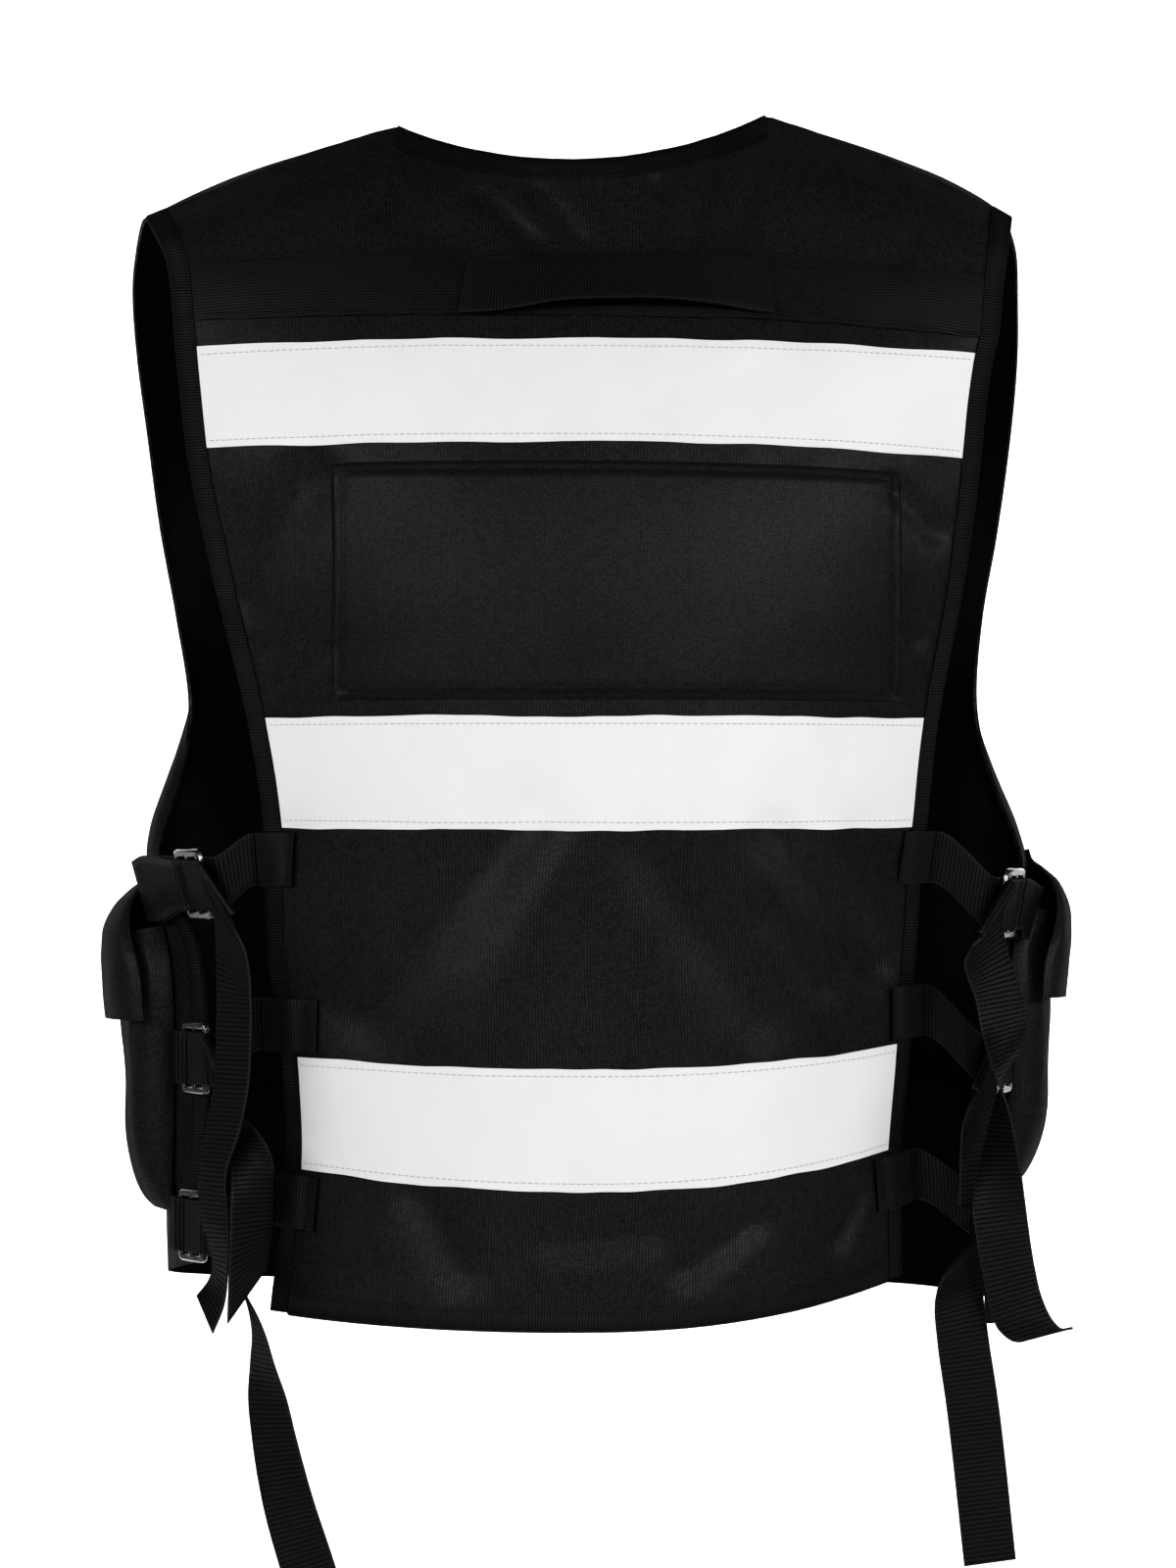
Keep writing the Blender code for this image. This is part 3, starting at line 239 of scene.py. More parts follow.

# The straps' tails, from just behind the adjuster on: each row holds both edges. The first edge is the upper
# one at the adjuster. The tail folds over on a slant, and hangs down with that edge outwards. Most rows came
# from a search that moved listed rows until the straps no longer crossed themselves.
TailRow = namedtuple("TailRow", "x1 y1 z1 x2 y2 z2")
TAILS = {
    ("left", "top"): [
        TailRow(-184.9, -34.5, -329.3, -168.5, -49.5, -353.5),
        TailRow(-185.6, -35.8, -329, -169.2, -50.8, -353.2),
        TailRow(-186.7, -35.4, -329.9, -170.3, -50.4, -354.1),
        TailRow(-186.2, -35.6, -330.9, -170, -51.2, -355),
        TailRow(-182.8, -36.9, -338.6, -167.8, -56.9, -361.6),
        TailRow(-178.6, -37.4, -350.6, -164, -58.4, -369.6),
        TailRow(-177.3, -39.2, -366.4, -162.1, -59.7, -378.4),
        TailRow(-176.9, -42, -388.3, -161.2, -61, -390.3),
        TailRow(-177.2, -43.4, -412.2, -161.2, -62.4, -412.2),
        TailRow(-179, -45.3, -436.2, -162.9, -62.8, -436.2),
        TailRow(-182.3, -43.2, -456.1, -167.3, -61.2, -456.1),
        TailRow(-185.1, -41.6, -472.1, -172.5, -59.6, -472.1),
        TailRow(-184.2, -40.2, -495.1, -171.7, -57.6, -495.1),
        TailRow(-179.1, -37.8, -514, -171.9, -58.6, -514),
        TailRow(-180.5, -37, -524, -173.8, -57, -534),
        TailRow(-186.2, -40, -531, -178.8, -56.5, -547),
    ],
    ("left", "middle"): [
        TailRow(-181.4, -26.6, -410, -168.6, -40.5, -435),
        TailRow(-181.8, -27.8, -409.5, -169, -41.7, -434.5),
        TailRow(-183, -29.9, -410, -170.2, -43.8, -435),
        TailRow(-181.1, -30.3, -421, -171.1, -48.7, -444),
        TailRow(-177.7, -33.1, -434, -166.5, -51.2, -447),
        TailRow(-175.8, -37.2, -449, -160.3, -54.6, -451),
        TailRow(-171.9, -48.1, -463, -151.9, -59.6, -464.3),
        TailRow(-170.5, -55.3, -470, -150.7, -57.8, -470),
        TailRow(-170.5, -60.6, -479, -150.9, -52.6, -479),
        TailRow(-171.1, -61.9, -500, -151.5, -49.4, -498),
        TailRow(-172.3, -60.3, -542, -154.3, -50.3, -518),
    ],
    ("left", "bottom"): [
        TailRow(-181.6, -26.6, -489, -168.5, -39, -514),
        TailRow(-181.8, -27.8, -488.5, -168.7, -40.2, -513.5),
        TailRow(-183, -28.1, -489, -169.9, -40.8, -514),
        TailRow(-181.1, -33.6, -503, -169.6, -48, -522),
        TailRow(-172.2, -38.4, -517, -164.2, -50, -530),
        TailRow(-164.2, -33.4, -531, -159.7, -55.9, -537),
        TailRow(-160.4, -36.9, -547, -155, -61.3, -547),
        TailRow(-161.2, -37.3, -562, -150.3, -59.7, -562),
        TailRow(-162.3, -39.1, -578, -145, -57.1, -577),
        TailRow(-160.7, -41.3, -597, -140.7, -56.3, -594),
        TailRow(-155.3, -43.9, -630, -132.4, -53.3, -624),
        TailRow(-146.7, -46.2, -661, -122.9, -50.6, -653),
        TailRow(-142.3, -46.3, -675, -118.5, -50.3, -667),
    ],
    ("right", "top"): [
        TailRow(197.4, -34, -338.7, 179.5, -48.5, -363),
        TailRow(198.1, -35.2, -338.4, 180.2, -49.7, -362.7),
        TailRow(199.3, -35.4, -339.2, 181.4, -49.9, -363.5),
        TailRow(194.7, -36.9, -350.6, 175, -53.8, -370.6),
        TailRow(193.8, -38.6, -361.4, 172.1, -55.6, -376.4),
        TailRow(195.9, -39.9, -372.3, 173.6, -53.5, -383.3),
        TailRow(201.2, -42.6, -390.2, 177.9, -51.1, -394.2),
        TailRow(203.8, -45.4, -404.2, 180.5, -53.4, -409.2),
        TailRow(201.2, -44.3, -416.1, 182.9, -60.3, -421.1),
        TailRow(194.1, -42.7, -430.1, 186.8, -66.2, -433.1),
        TailRow(188.2, -43.2, -446.1, 191.4, -67.7, -446.1),
        TailRow(183.7, -45.6, -462, 194.8, -67.6, -461),
        TailRow(179.3, -49, -477, 197.5, -66, -475),
        TailRow(176.3, -53.5, -492, 200.6, -59, -489),
        TailRow(177.8, -56, -507, 202.6, -58, -503),
        TailRow(181.2, -57, -527, 205.4, -59, -521),
        TailRow(184.4, -58, -541, 208, -61, -533),
        TailRow(189, -57, -550, 211.5, -65, -542),
        TailRow(197, -52, -555, 215.5, -68.5, -547),
        TailRow(210, -49, -552, 220.8, -71.5, -546.5),
    ],
    ("right", "middle"): [
        TailRow(192.6, -26.6, -412, 178.4, -39.5, -437),
        TailRow(192.9, -27.8, -411.5, 178.7, -40.7, -436.5),
        TailRow(194.1, -28.1, -412.1, 179.9, -41, -437.1),
        TailRow(192.4, -29.2, -425, 175.7, -44.7, -446),
        TailRow(191.9, -30.4, -440, 173.1, -44.4, -454),
        TailRow(191.4, -31.6, -462, 172.1, -44.1, -465),
        TailRow(191, -32.4, -490, 171.5, -43.4, -492),
    ],
    ("right", "bottom"): [
        TailRow(192.4, -26.6, -486, 176.5, -40, -511),
        TailRow(192.7, -27.8, -485.5, 176.8, -41.2, -510.5),
        TailRow(193.8, -28.1, -486.1, 177.9, -41.5, -511.1),
        TailRow(188.5, -38.1, -498.1, 167, -49, -518.1),
        TailRow(183.6, -42.7, -512.1, 160.6, -57.9, -525.1),
        TailRow(182.8, -45.5, -530.1, 158.7, -51.6, -537.1),
        TailRow(184.7, -47.7, -550, 160.1, -49.7, -554),
        TailRow(189.4, -47.8, -581, 164.6, -47.8, -584),
        TailRow(198.2, -47.6, -658, 173.4, -47.6, -661),
    ],
}

# The pockets, as shares of a front half's width, heights of the left one, and how far they stand out
POCKET_ACROSS = (0.42, 0.905)
POCKET_TOP = -360.0
POCKET_BOTTOM = -497.0
POCKET_STAND = 24.0
POCKET_RIM = 1.8
POCKET_CLOTH = 1.2
POCKET_LIFT = {"left": 0.0, "right": 9.0}
FLAP_ACROSS = (0.40, 0.91)
FLAP_CLOTH = 1.4
# The flap's way down: heights, and how far it stands out there
FLAP_ROWS = [
    (-334, 2.1),
    (-338, 3.0),
    (-342, 10.0),
    (-347, 19.0),
    (-355, 26.5),
    (-368, 30.0),
    (-388, 30.0),
    (-405, 29.0),
]

# Spacing of the fine meshes
FINE = 2.6
COARSE = 3.6


# Curves and grids


def through(positions, values, where):
    """All columns of a table at many places between its rows, on a smooth curve through the rows."""
    positions, values, where = (np.asarray(a, float) for a in (positions, values, where))
    steps = np.diff(positions)
    slopes = np.diff(values, axis=0) / steps.reshape(-1, *[1] * (values.ndim - 1))
    before = steps[:-1].reshape(-1, *[1] * (values.ndim - 1))
    after = steps[1:].reshape(before.shape)
    inner = (slopes[:-1] * after + slopes[1:] * before) / (before + after)
    tangents = np.concatenate([slopes[:1], inner, slopes[-1:]])
    k = np.clip(np.searchsorted(positions, where) - 1, 0, len(positions) - 2)
    u = (where - positions[k]) / steps[k]
    if values.ndim == 3:
        at = np.arange(values.shape[1])
        low, high, start, end = values[k, at], values[k + 1, at], tangents[k, at], tangents[k + 1, at]
    else:
        low, high, start, end = values[k], values[k + 1], tangents[k], tangents[k + 1]
    u, step = u[:, None], steps[k][:, None]
    return (
        (2 * u**3 - 3 * u**2 + 1) * low
        + (u**3 - 2 * u**2 + u) * step * start
        + (3 * u**2 - 2 * u**3) * high
        + (u**3 - u**2) * step * end
    )


def smoothstep(low, high, value):
    """Rises from 0 at low to 1 at high."""
    u = np.clip((value - low) / (high - low), 0.0, 1.0)
    return u * u * (3 - 2 * u)


def unit(vectors):
    """The same directions with a length of 1."""
    return vectors / np.maximum(np.linalg.norm(vectors, axis=-1, keepdims=True), 1e-9)


def steps_between(marks, spacing):
    """Positions from the first mark to the last, no further apart than the spacing, with every mark kept."""
    found = [marks[0]]
    for low, high in zip(marks, marks[1:]):
        count = max(1, math.ceil((high - low) / spacing))
        found += [low + (high - low) * (i + 1) / count for i in range(count)]
    return np.array(found)


def waves(seed, x, y, sizes, rough=0.5):
    """Smooth seeded irregularity between about -1 and 1 over a plane, the sum of waves of these sizes."""
    random = np.random.default_rng(seed)
    total = np.zeros_like(np.asarray(x, float) + np.asarray(y, float))
    weight, weights = 1.0, 0.0
    for size in sizes:
        for _ in range(4):
            turn, phase = random.uniform(0, 2 * math.pi, 2)
            length = size * random.uniform(0.75, 1.35)
            total += weight * np.sin((x * math.cos(turn) + y * math.sin(turn)) * 2 * math.pi / length + phase)
        weights += 2 * weight
        weight *= rough
    return total / weights


# The form of the back

BACK_POSITIONS = [row.down for row in BACK_ROWS]
Fold = namedtuple("Fold", "x1 z1 x2 z2 height spread")


def on_the_photo(across, down):
    """The x and z, in whole millimetres, of what the photo shows of the back at a pixel."""
    wide, high = PIXEL if down > YOKE_ENDS else YOKE_PIXEL
    x = round((across - PHOTO_MIDDLE[0]) * wide + MIDDLE_X)
    return x, round((PHOTO_MIDDLE[1] - down) * high + MIDDLE_Z)


def fold_under(crest):
    """The fold that a crest line of the photo stands for."""
    ends = *on_the_photo(crest.across1, crest.down1), *on_the_photo(crest.across2, crest.down2)
    return Fold(*ends, crest.height, crest.spread)


BACK_FOLDS = [fold_under(crest) for crest in CRESTS]


def fold_height(x, z):
    """How deep the folds dent the back at a place."""
    total = np.zeros_like(x)
    for fold in BACK_FOLDS:
        along_x, along_z = fold.x2 - fold.x1, fold.z2 - fold.z1
        u = ((x - fold.x1) * along_x + (z - fold.z1) * along_z) / (along_x**2 + along_z**2)
        near = np.clip(u, 0.0, 1.0)
        far = np.hypot(x - fold.x1 - near * along_x, z - fold.z1 - near * along_z)
        total += fold.height * np.exp(-((far / fold.spread) ** 2))
    return total


def shoulder_lean(x, z):
    """The rise of the right shoulder over the left one, fading out down the body."""
    share = np.sin(np.clip(x / LEAN_SPAN, -1.0, 1.0) * math.pi / 2)
    return SHOULDER_LEAN * share * smoothstep(*LEAN_FADE, z)


def back_points(across, down):
    """Points of the back's outer face: across runs from -1 at the left edge to 1 at the right edge."""
    across, down = (np.ravel(a).astype(float) for a in np.broadcast_arrays(across, down))
    row = BackRow(*through(BACK_POSITIONS, np.array(BACK_ROWS, float), down).T)
    reach = np.abs(across)
    peak = np.where(reach < NECK_POINT, (reach / NECK_POINT) ** 2, (1 - reach) / (1 - NECK_POINT))
    curve = reach**BACK_ROUNDING
    lift = np.where(across > 0, row.lift_right, row.lift_left) * reach**2
    x = (row.left + row.right) / 2 + across * (row.right - row.left) / 2
    z = -row.down - row.edge_drop * curve + row.peak_up * peak + lift
    y = -row.depth + (row.depth - row.edge_depth) * curve + row.peak_forward * peak
    y += FOLD_DEPTH * fold_height(x, z)
    return np.stack([x, y, z + shoulder_lean(x, z)], axis=-1)


def back_width(down):
    """The back's width at a height."""
    row = BackRow(*through(BACK_POSITIONS, np.array(BACK_ROWS, float), np.atleast_1d(down)).T)
    return row.right - row.left


def back_across(x, down):
    """The share across the back at which a row reaches this x."""
    row = BackRow(*through(BACK_POSITIONS, np.array(BACK_ROWS, float), np.atleast_1d(down)).T)
    return ((2 * x - row.left - row.right) / (row.right - row.left))[0]


def back_down_at(across, z):
    """How far down the back reaches this height at a share across it."""
    downs = np.linspace(BACK_ROWS[0].down, BACK_ROWS[-1].down, 1200)
    heights = back_points(across, downs)[:, 2]
    return float(np.interp(-z, -heights, downs))


def surface_normals(points_of, u, v, step_u, step_v):
    """The outward directions of a surface that points_of(u, v) gives, from points beside each one."""
    du = points_of(u + step_u, v) - points_of(u - step_u, v)
    dv = points_of(u, v + step_v) - points_of(u, v - step_v)
    normals = unit(np.cross(du, dv))
    outwards = np.sum(normals * (points_of(u, v) - TORSO_CENTRE), axis=-1, keepdims=True)
    return np.where(outwards > 0, normals, -normals)


def seam_normals(across):
    """The directions at a shoulder seam, shared by the back and the front so that their edges meet."""
    top, below = BACK_ROWS[0].down, BACK_ROWS[1].down
    along = back_points(across + 0.01, top) - back_points(across - 0.01, top)
    share = (np.abs(across) - NECK_POINT) / (1 - NECK_POINT)
    right, left = (front_row_points(side, share, 1) for side in ("right", "left"))
    over = np.where((across > 0)[:, None], right, left)
    normals = unit(np.cross(along, over - back_points(across, below)))
    return np.where(normals[:, 2:] > 0, normals, -normals)


def back_normals(across, down):
    """The directions that the back's outer face looks to."""
    across, down = (np.ravel(a).astype(float) for a in np.broadcast_arrays(across, down))
    normals = surface_normals(back_points, across, down, 0.01, 1.0)
    seam = seam_normals(across)
    blend = (1 - smoothstep(BACK_ROWS[0].down, NECK_LINE, down)) * (np.abs(across) >= NECK_POINT - 0.02)
    return unit(normals * (1 - blend[:, None]) + seam * blend[:, None])


# The puckers that the seams draw in the cloth: across runs along the seam


def pucker(along, away, reach, seed):
    """Small waves along a seam that fade away from it."""
    return waves(seed, along, away * 0.25, (26.0, 11.0)) * np.exp(-((away / reach) ** 2))


def back_relief(across, down):
    """The small unevenness of the back's cloth, on top of its folds."""
    x = across * back_width(down) / 2
    relief = 0.35 * waves(3, x, down, (90.0, 45.0))
    for seed, (low, high) in enumerate(STRIPS.values(), 11):
        for edge in (low, high):
            relief += 0.30 * pucker(x, down - edge, 9.0, seed)
    for edge in SHOULDER_WEBBING:
        relief += 0.35 * pucker(x, down - edge, 9.0, 21)
    relief += 0.45 * pucker(x, down - NECK_LINE, 12.0, 23)
    relief += 0.35 * pucker(x, down - HEM_LINE, 10.0, 24)
    return relief * smoothstep(1.0, 0.93, np.abs(across))


def on_back(across, down, stand=0.0):
    """Points that stand this far off the back's cloth, with its relief."""
    across, down = np.broadcast_arrays(np.asarray(across, float), np.asarray(down, float))
    shape = across.shape
    across, down = across.ravel(), down.ravel()
    height = (back_relief(across, down) + np.broadcast_to(stand, shape).ravel())[:, None]
    return (back_points(across, down) + back_normals(across, down) * height).reshape(*shape, 3)


# The form of the front halves


def bezier(points, u):
    """Points of the cubic curve with these four control points."""
    weights = ((1 - u) ** 3, 3 * u * (1 - u) ** 2, 3 * u**2 * (1 - u), u**3)
    return sum(w[:, None] * np.array(p, float) for w, p in zip(weights, points))


def front_row_points(side, across, row_number):
    """Points of one row of a front half. Row 0 is the shoulder seam, shared with the back."""
    sign = 1 if side == "right" else -1
    if row_number == 0:
        seam = back_points(sign * (NECK_POINT + (1 - NECK_POINT) * across), BACK_ROWS[0].down)
        return seam + np.array([0, GAP + 0.1, 0])
    row = FRONT_ROWS[row_number - 1]
    edge, rear = (row.in_x, row.in_y), (row.out_x, row.out_y)
    x, y = bezier([edge, (row.front_x, row.front_y), (row.side_x, row.side_y), rear], across).T
    straight, curved, power = TIP_ROUNDING
    z = row.in_z + (row.out_z - row.in_z) * (straight * across + curved * across**power)
    if side == "right":
        x = x + row.wider_right * across
        z = z - row.lower_right * across**2
    return np.stack([sign * x, y, z + shoulder_lean(sign * x, z)], axis=-1)


def front_points(side, across, row):
    """Points of a front half's outer face: across runs from the zip to the outer edge, row down the rows."""
    across, row = (np.ravel(a).astype(float) for a in np.broadcast_arrays(across, row))
    rows = np.array([front_row_points(side, across, n) for n in range(HEM_ROW + 1)])
    return through(np.arange(HEM_ROW + 1), rows, row)


def front_normals(side, across, row):
    """The directions that a front half's outer face looks to."""
    across, row = (np.ravel(a).astype(float) for a in np.broadcast_arrays(across, row))
    normals = surface_normals(lambda u, v: front_points(side, u, v), across, row, 0.01, 0.05)
    seam = seam_normals((1 if side == "right" else -1) * (NECK_POINT + (1 - NECK_POINT) * across))
    blend = (1 - smoothstep(0.0, 0.5, row))[:, None]
    return unit(normals * (1 - blend) + seam * blend)


def front_rows_at(side, across, z):
    """The rows, counted from the shoulder, in which a front half reaches these heights."""
    low, high = np.full(len(across), 1.0), np.full(len(across), float(HEM_ROW))
    for _ in range(22):
        middle = (low + high) / 2
        above = front_points(side, across, middle)[:, 2] > z
        low, high = np.where(above, middle, low), np.where(above, high, middle)
    return (low + high) / 2


def over_front(side, across, z, stand):
    """Points this far out from a front half, at shares across it and heights."""
    across, z, stand = np.broadcast_arrays(*(np.asarray(a, float) for a in (across, z, stand)))
    shape = across.shape
    across, z = across.ravel(), z.ravel()
    row = front_rows_at(side, across, z)
    points = front_points(side, across, row) + front_normals(side, across, row) * stand.ravel()[:, None]
    return points.reshape(*shape, 3)


# Meshes


def make_piece(name, points, faces, uvs, material, nodes=(), sharp=50.0):
    """One piece that rides on the vest, from points in millimetres. Its cloth coordinates are in metres."""
    points = np.asarray(points, float)
    mesh = bpy.data.meshes.new(name)
    mesh.from_pydata((points * MM).tolist(), [], faces)
    layer = mesh.uv_layers.new(name="cloth")
    corners = np.empty(len(mesh.loops), np.int32)
    mesh.loops.foreach_get("vertex_index", corners)
    layer.data.foreach_set("uv", (np.asarray(uvs, float)[corners] * MM).astype(np.float32).ravel())
    shell = bmesh.new()
    shell.from_mesh(mesh)
    bmesh.ops.recalc_face_normals(shell, faces=shell.faces)
    if shell.calc_volume(signed=True) < 0:
        bmesh.ops.reverse_faces(shell, faces=shell.faces)
    shell.to_mesh(mesh)
    shell.free()
    mesh.shade_smooth()
    mesh.set_sharp_from_angle(angle=math.radians(sharp))
    mesh.materials.append(material)
    piece = bpy.data.objects.new(name, mesh)
    bpy.context.scene.collection.objects.link(piece)
    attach(piece, "root")
    if nodes:
        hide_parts(*nodes)
    return piece


def grid_coordinates(grid):
    """Each point's distance along the cloth, across from the middle column and down from the first row."""
    across = np.linalg.norm(np.diff(grid, axis=1), axis=2)
    across = np.concatenate([np.zeros((len(grid), 1)), np.cumsum(across, axis=1)], axis=1)
    across -= across[:, [grid.shape[1] // 2]]
    down = np.linalg.norm(np.diff(grid, axis=0), axis=2)
    down = np.concatenate([np.zeros((1, grid.shape[1])), np.cumsum(down, axis=0)])
    return np.stack([across, -down], axis=-1)


def slab(name, outer, inner, material, nodes=(), shaded_inside=None):
    """A closed sheet of cloth between two grids of points with the same rows and columns. The material of its
    inner face, when given, is a darker copy of its cloth: painted shade on the vest's inside."""
    rows, columns = outer.shape[:2]
    index = np.arange(rows * columns).reshape(rows, columns)
    under = rows * columns
    a, b, c, d = index[:-1, :-1], index[:-1, 1:], index[1:, 1:], index[1:, :-1]
    top = np.stack([a, b, c, d], axis=-1).reshape(-1, 4)
    faces = top.tolist() + (top[:, ::-1] + under).tolist()
    rim = [*index[0], *index[1:, -1], *index[-1, -2::-1], *index[-2:0:-1, 0]]
    faces += [[q, p, under + p, under + q] for p, q in zip(rim, rim[1:] + rim[:1])]
    uvs = grid_coordinates(outer).reshape(-1, 2)
    points = np.concatenate([outer.reshape(-1, 3), inner.reshape(-1, 3)])
    piece = make_piece(name, points, faces, np.concatenate([uvs, uvs]), material, nodes)
    if shaded_inside:
        piece.data.materials.append(shaded_inside)
        for face in piece.data.polygons[len(top):2 * len(top)]:
            face.material_index = 1
    return piece


def cloth_piece(name, grids, cloth, shaded_inside=None):
    """A sheet of cloth that stands for the solid of its name, between its outer and its inner grid."""
    piece = slab(name, *grids, MATERIALS[cloth], [name], MATERIALS[shaded_inside] if shaded_inside else None)


def sweep(name, rings, ring_uv, lengths, material, nodes=()):
    """A closed bar through rings of points, with flat ends. ring_uv is each point's place across."""
    count, sides = rings.shape[:2]
    index = np.arange(count * sides).reshape(count, sides)
    beside = np.roll(index, -1, axis=1)
    faces = np.stack([index[:-1], beside[:-1], beside[1:], index[1:]], axis=-1).reshape(-1, 4).tolist()
    faces += [index[0].tolist()[::-1], index[-1].tolist()]
    along = np.repeat(lengths[:, None], sides, axis=1)
    uvs = np.stack([np.broadcast_to(ring_uv, (count, sides)), along], axis=-1)
    return make_piece(name, rings.reshape(-1, 3), faces, uvs.reshape(-1, 2), material, nodes)


def lengths_along(points):
    """The distance along a line at each of its points."""
    return np.concatenate([[0.0], np.cumsum(np.linalg.norm(np.diff(points, axis=0), axis=1))])


def webbing_profile(width, thickness):
    """A webbing's section with rounded edges: its points' places across, and their heights."""
    half, round_ = width / 2, thickness / 2
    turn = np.linspace(-math.pi / 2, math.pi / 2, 5)
    flat = np.linspace(-1, 1, 9)[1:-1] * (half - round_)
    edge = half - round_ + round_ * np.cos(turn)
    across = [*flat, *edge, *-flat, *-edge]
    height = [*[-round_] * 7, *(round_ * np.sin(turn)), *[round_] * 7, *(-round_ * np.sin(turn))]
    return np.array(across), np.array(height)


def refine(pairs, spacing):
    """More pairs of edge points, on smooth curves through the given ones."""
    values = np.array([[*one, *other] for one, other in pairs], float)
    middles = (values[:, :3] + values[:, 3:]) / 2
    positions = lengths_along(middles)
    return through(positions, values, steps_between(positions, spacing)).reshape(-1, 2, 3)


def band(name, pairs, thickness, material, nodes=(), spacing=1.5):
    """A strip of webbing between pairs of edge points."""
    pairs = refine(pairs, spacing)
    middles = pairs.mean(axis=1)
    along = np.gradient(middles, axis=0)
    side = unit(pairs[:, 0] - pairs[:, 1])
    lift = unit(np.cross(along, side))
    widths = np.linalg.norm(pairs[:, 0] - pairs[:, 1], axis=1)
    across, height = webbing_profile(float(np.median(widths)), thickness)
    scale = (widths / np.median(widths))[:, None, None]
    rings = middles[:, None] + side[:, None] * across[None, :, None] * scale
    rings = rings + lift[:, None] * height[None, :, None]
    return sweep(name, rings, across, lengths_along(middles), material, nodes)


def crosswise(stations, width):
    """The two edges, the upper one first, of a band whose stations are a point of its middle line and the
    direction that its face looks to."""
    points = np.array([point for point, _ in stations], float)
    faces = np.array([face for _, face in stations], float)
    side = unit(np.cross(np.gradient(points, axis=0), faces)) * width / 2
    side = np.where(side[:, 2:] > 0, side, -side)
    return [(p + s, p - s) for p, s in zip(points, side)]


def folded_binding(name, rim, inner, rim_face, inner_face, material, nodes=()):
    """Ribbed tape folded round an edge of the cloth, from the points on the edge and where the tape ends, and
    the directions that the cloth looks to at both."""
    middle = lengths_along(rim)
    places = steps_between(middle, RIB / 4)
    values = np.stack([rim, inner, rim_face, inner_face], axis=1).reshape(len(rim), -1)
    dense = through(middle, values, places).reshape(-1, 4, 3)
    rim, inner, rim_face, inner_face = dense[:, 0], dense[:, 1], unit(dense[:, 2]), unit(dense[:, 3])
    out = unit(rim - inner)
    swell = RIB_RELIEF * (np.abs(np.sin(math.pi * places / RIB)) ** 0.8 - 0.5)[:, None, None]
    leaf, turn = GAP + TAPE, np.linspace(math.pi / 2, -math.pi / 2, 7)
    middle_height = -CLOTH / 2
    half = CLOTH / 2 + leaf
    outer = [(inner, inner_face, 0.0, leaf - 0.25), (inner, inner_face, 0.9, leaf)]
    outer += [(rim, rim_face, leaf * math.cos(t), middle_height + half * math.sin(t)) for t in turn]
    outer += [(inner, inner_face, 0.9, -CLOTH - leaf), (inner, inner_face, 0.0, -CLOTH - leaf + 0.25)]
    within = [(inner, inner_face, 0.0, -CLOTH - GAP), (rim, rim_face, GAP, -CLOTH - GAP)]
    within += [(rim, rim_face, GAP, GAP), (inner, inner_face, 0.0, GAP)]
    rings = [point + out * along + face * over for point, face, along, over in outer]
    rings = np.stack(rings, axis=1)
    centre = ((rim + inner) / 2 + (rim_face + inner_face) / 2 * middle_height)[:, None]
    rings += unit(rings - centre) * swell
    under = np.stack([point + out * along + face * over for point, face, along, over in within], axis=1)
    rings = np.concatenate([rings, under], axis=1)
    return sweep(name, rings, np.linspace(0, 20, rings.shape[1]), places, material, nodes)


# Stitches

STITCH = 2.3
STITCH_STEP = 3.1
THREAD = 0.42


def stitch_row(points, faces, thread=THREAD):
    """Stitches along a line that lies on cloth, as short rounded threads that dip in at both ends."""
    lengths = lengths_along(points)
    count = int(lengths[-1] / STITCH_STEP)
    found = []
    for i in range(count):
        start = (i + 0.5) * lengths[-1] / count - STITCH / 2
        places = start + STITCH * np.array([0.0, 0.18, 0.5, 0.82, 1.0])
        line = np.stack([np.interp(places, lengths, points[:, k]) for k in range(3)], axis=-1)
        up = unit(np.stack([np.interp(places, lengths, faces[:, k]) for k in range(3)], axis=-1))
        along = unit(np.gradient(line, axis=0))
        side = unit(np.cross(along, up))
        height = thread * np.array([-0.35, 0.22, 0.36, 0.22, -0.35])[:, None]
        size = thread / 2 * np.array([0.7, 1.0, 1.1, 1.0, 0.7])[:, None, None]
        turn = np.linspace(0, 2 * math.pi, 7)[:-1]
        ring = side[:, None] * np.cos(turn)[None, :, None] + up[:, None] * np.sin(turn)[None, :, None]
        found.append((line + up * height)[:, None] + ring * size)
    return found


def make_stitches(name, rows, material):
    """All stitches of one thread as one mesh."""
    stitches = [stitch for row in rows for stitch in row]
    rings, sides = stitches[0].shape[:2]
    points = np.concatenate([s.reshape(-1, 3) for s in stitches])
    index = np.arange(rings * sides).reshape(rings, sides)
    beside = np.roll(index, -1, axis=1)
    one = np.stack([index[:-1], beside[:-1], beside[1:], index[1:]], axis=-1).reshape(-1, 4).tolist()
    ends = [index[0].tolist()[::-1], index[-1].tolist()]
    faces = [[i + k * rings * sides for i in face] for k in range(len(stitches)) for face in one + ends]
    return make_piece(name, points, faces, points[:, [0, 2]], material)


# Materials


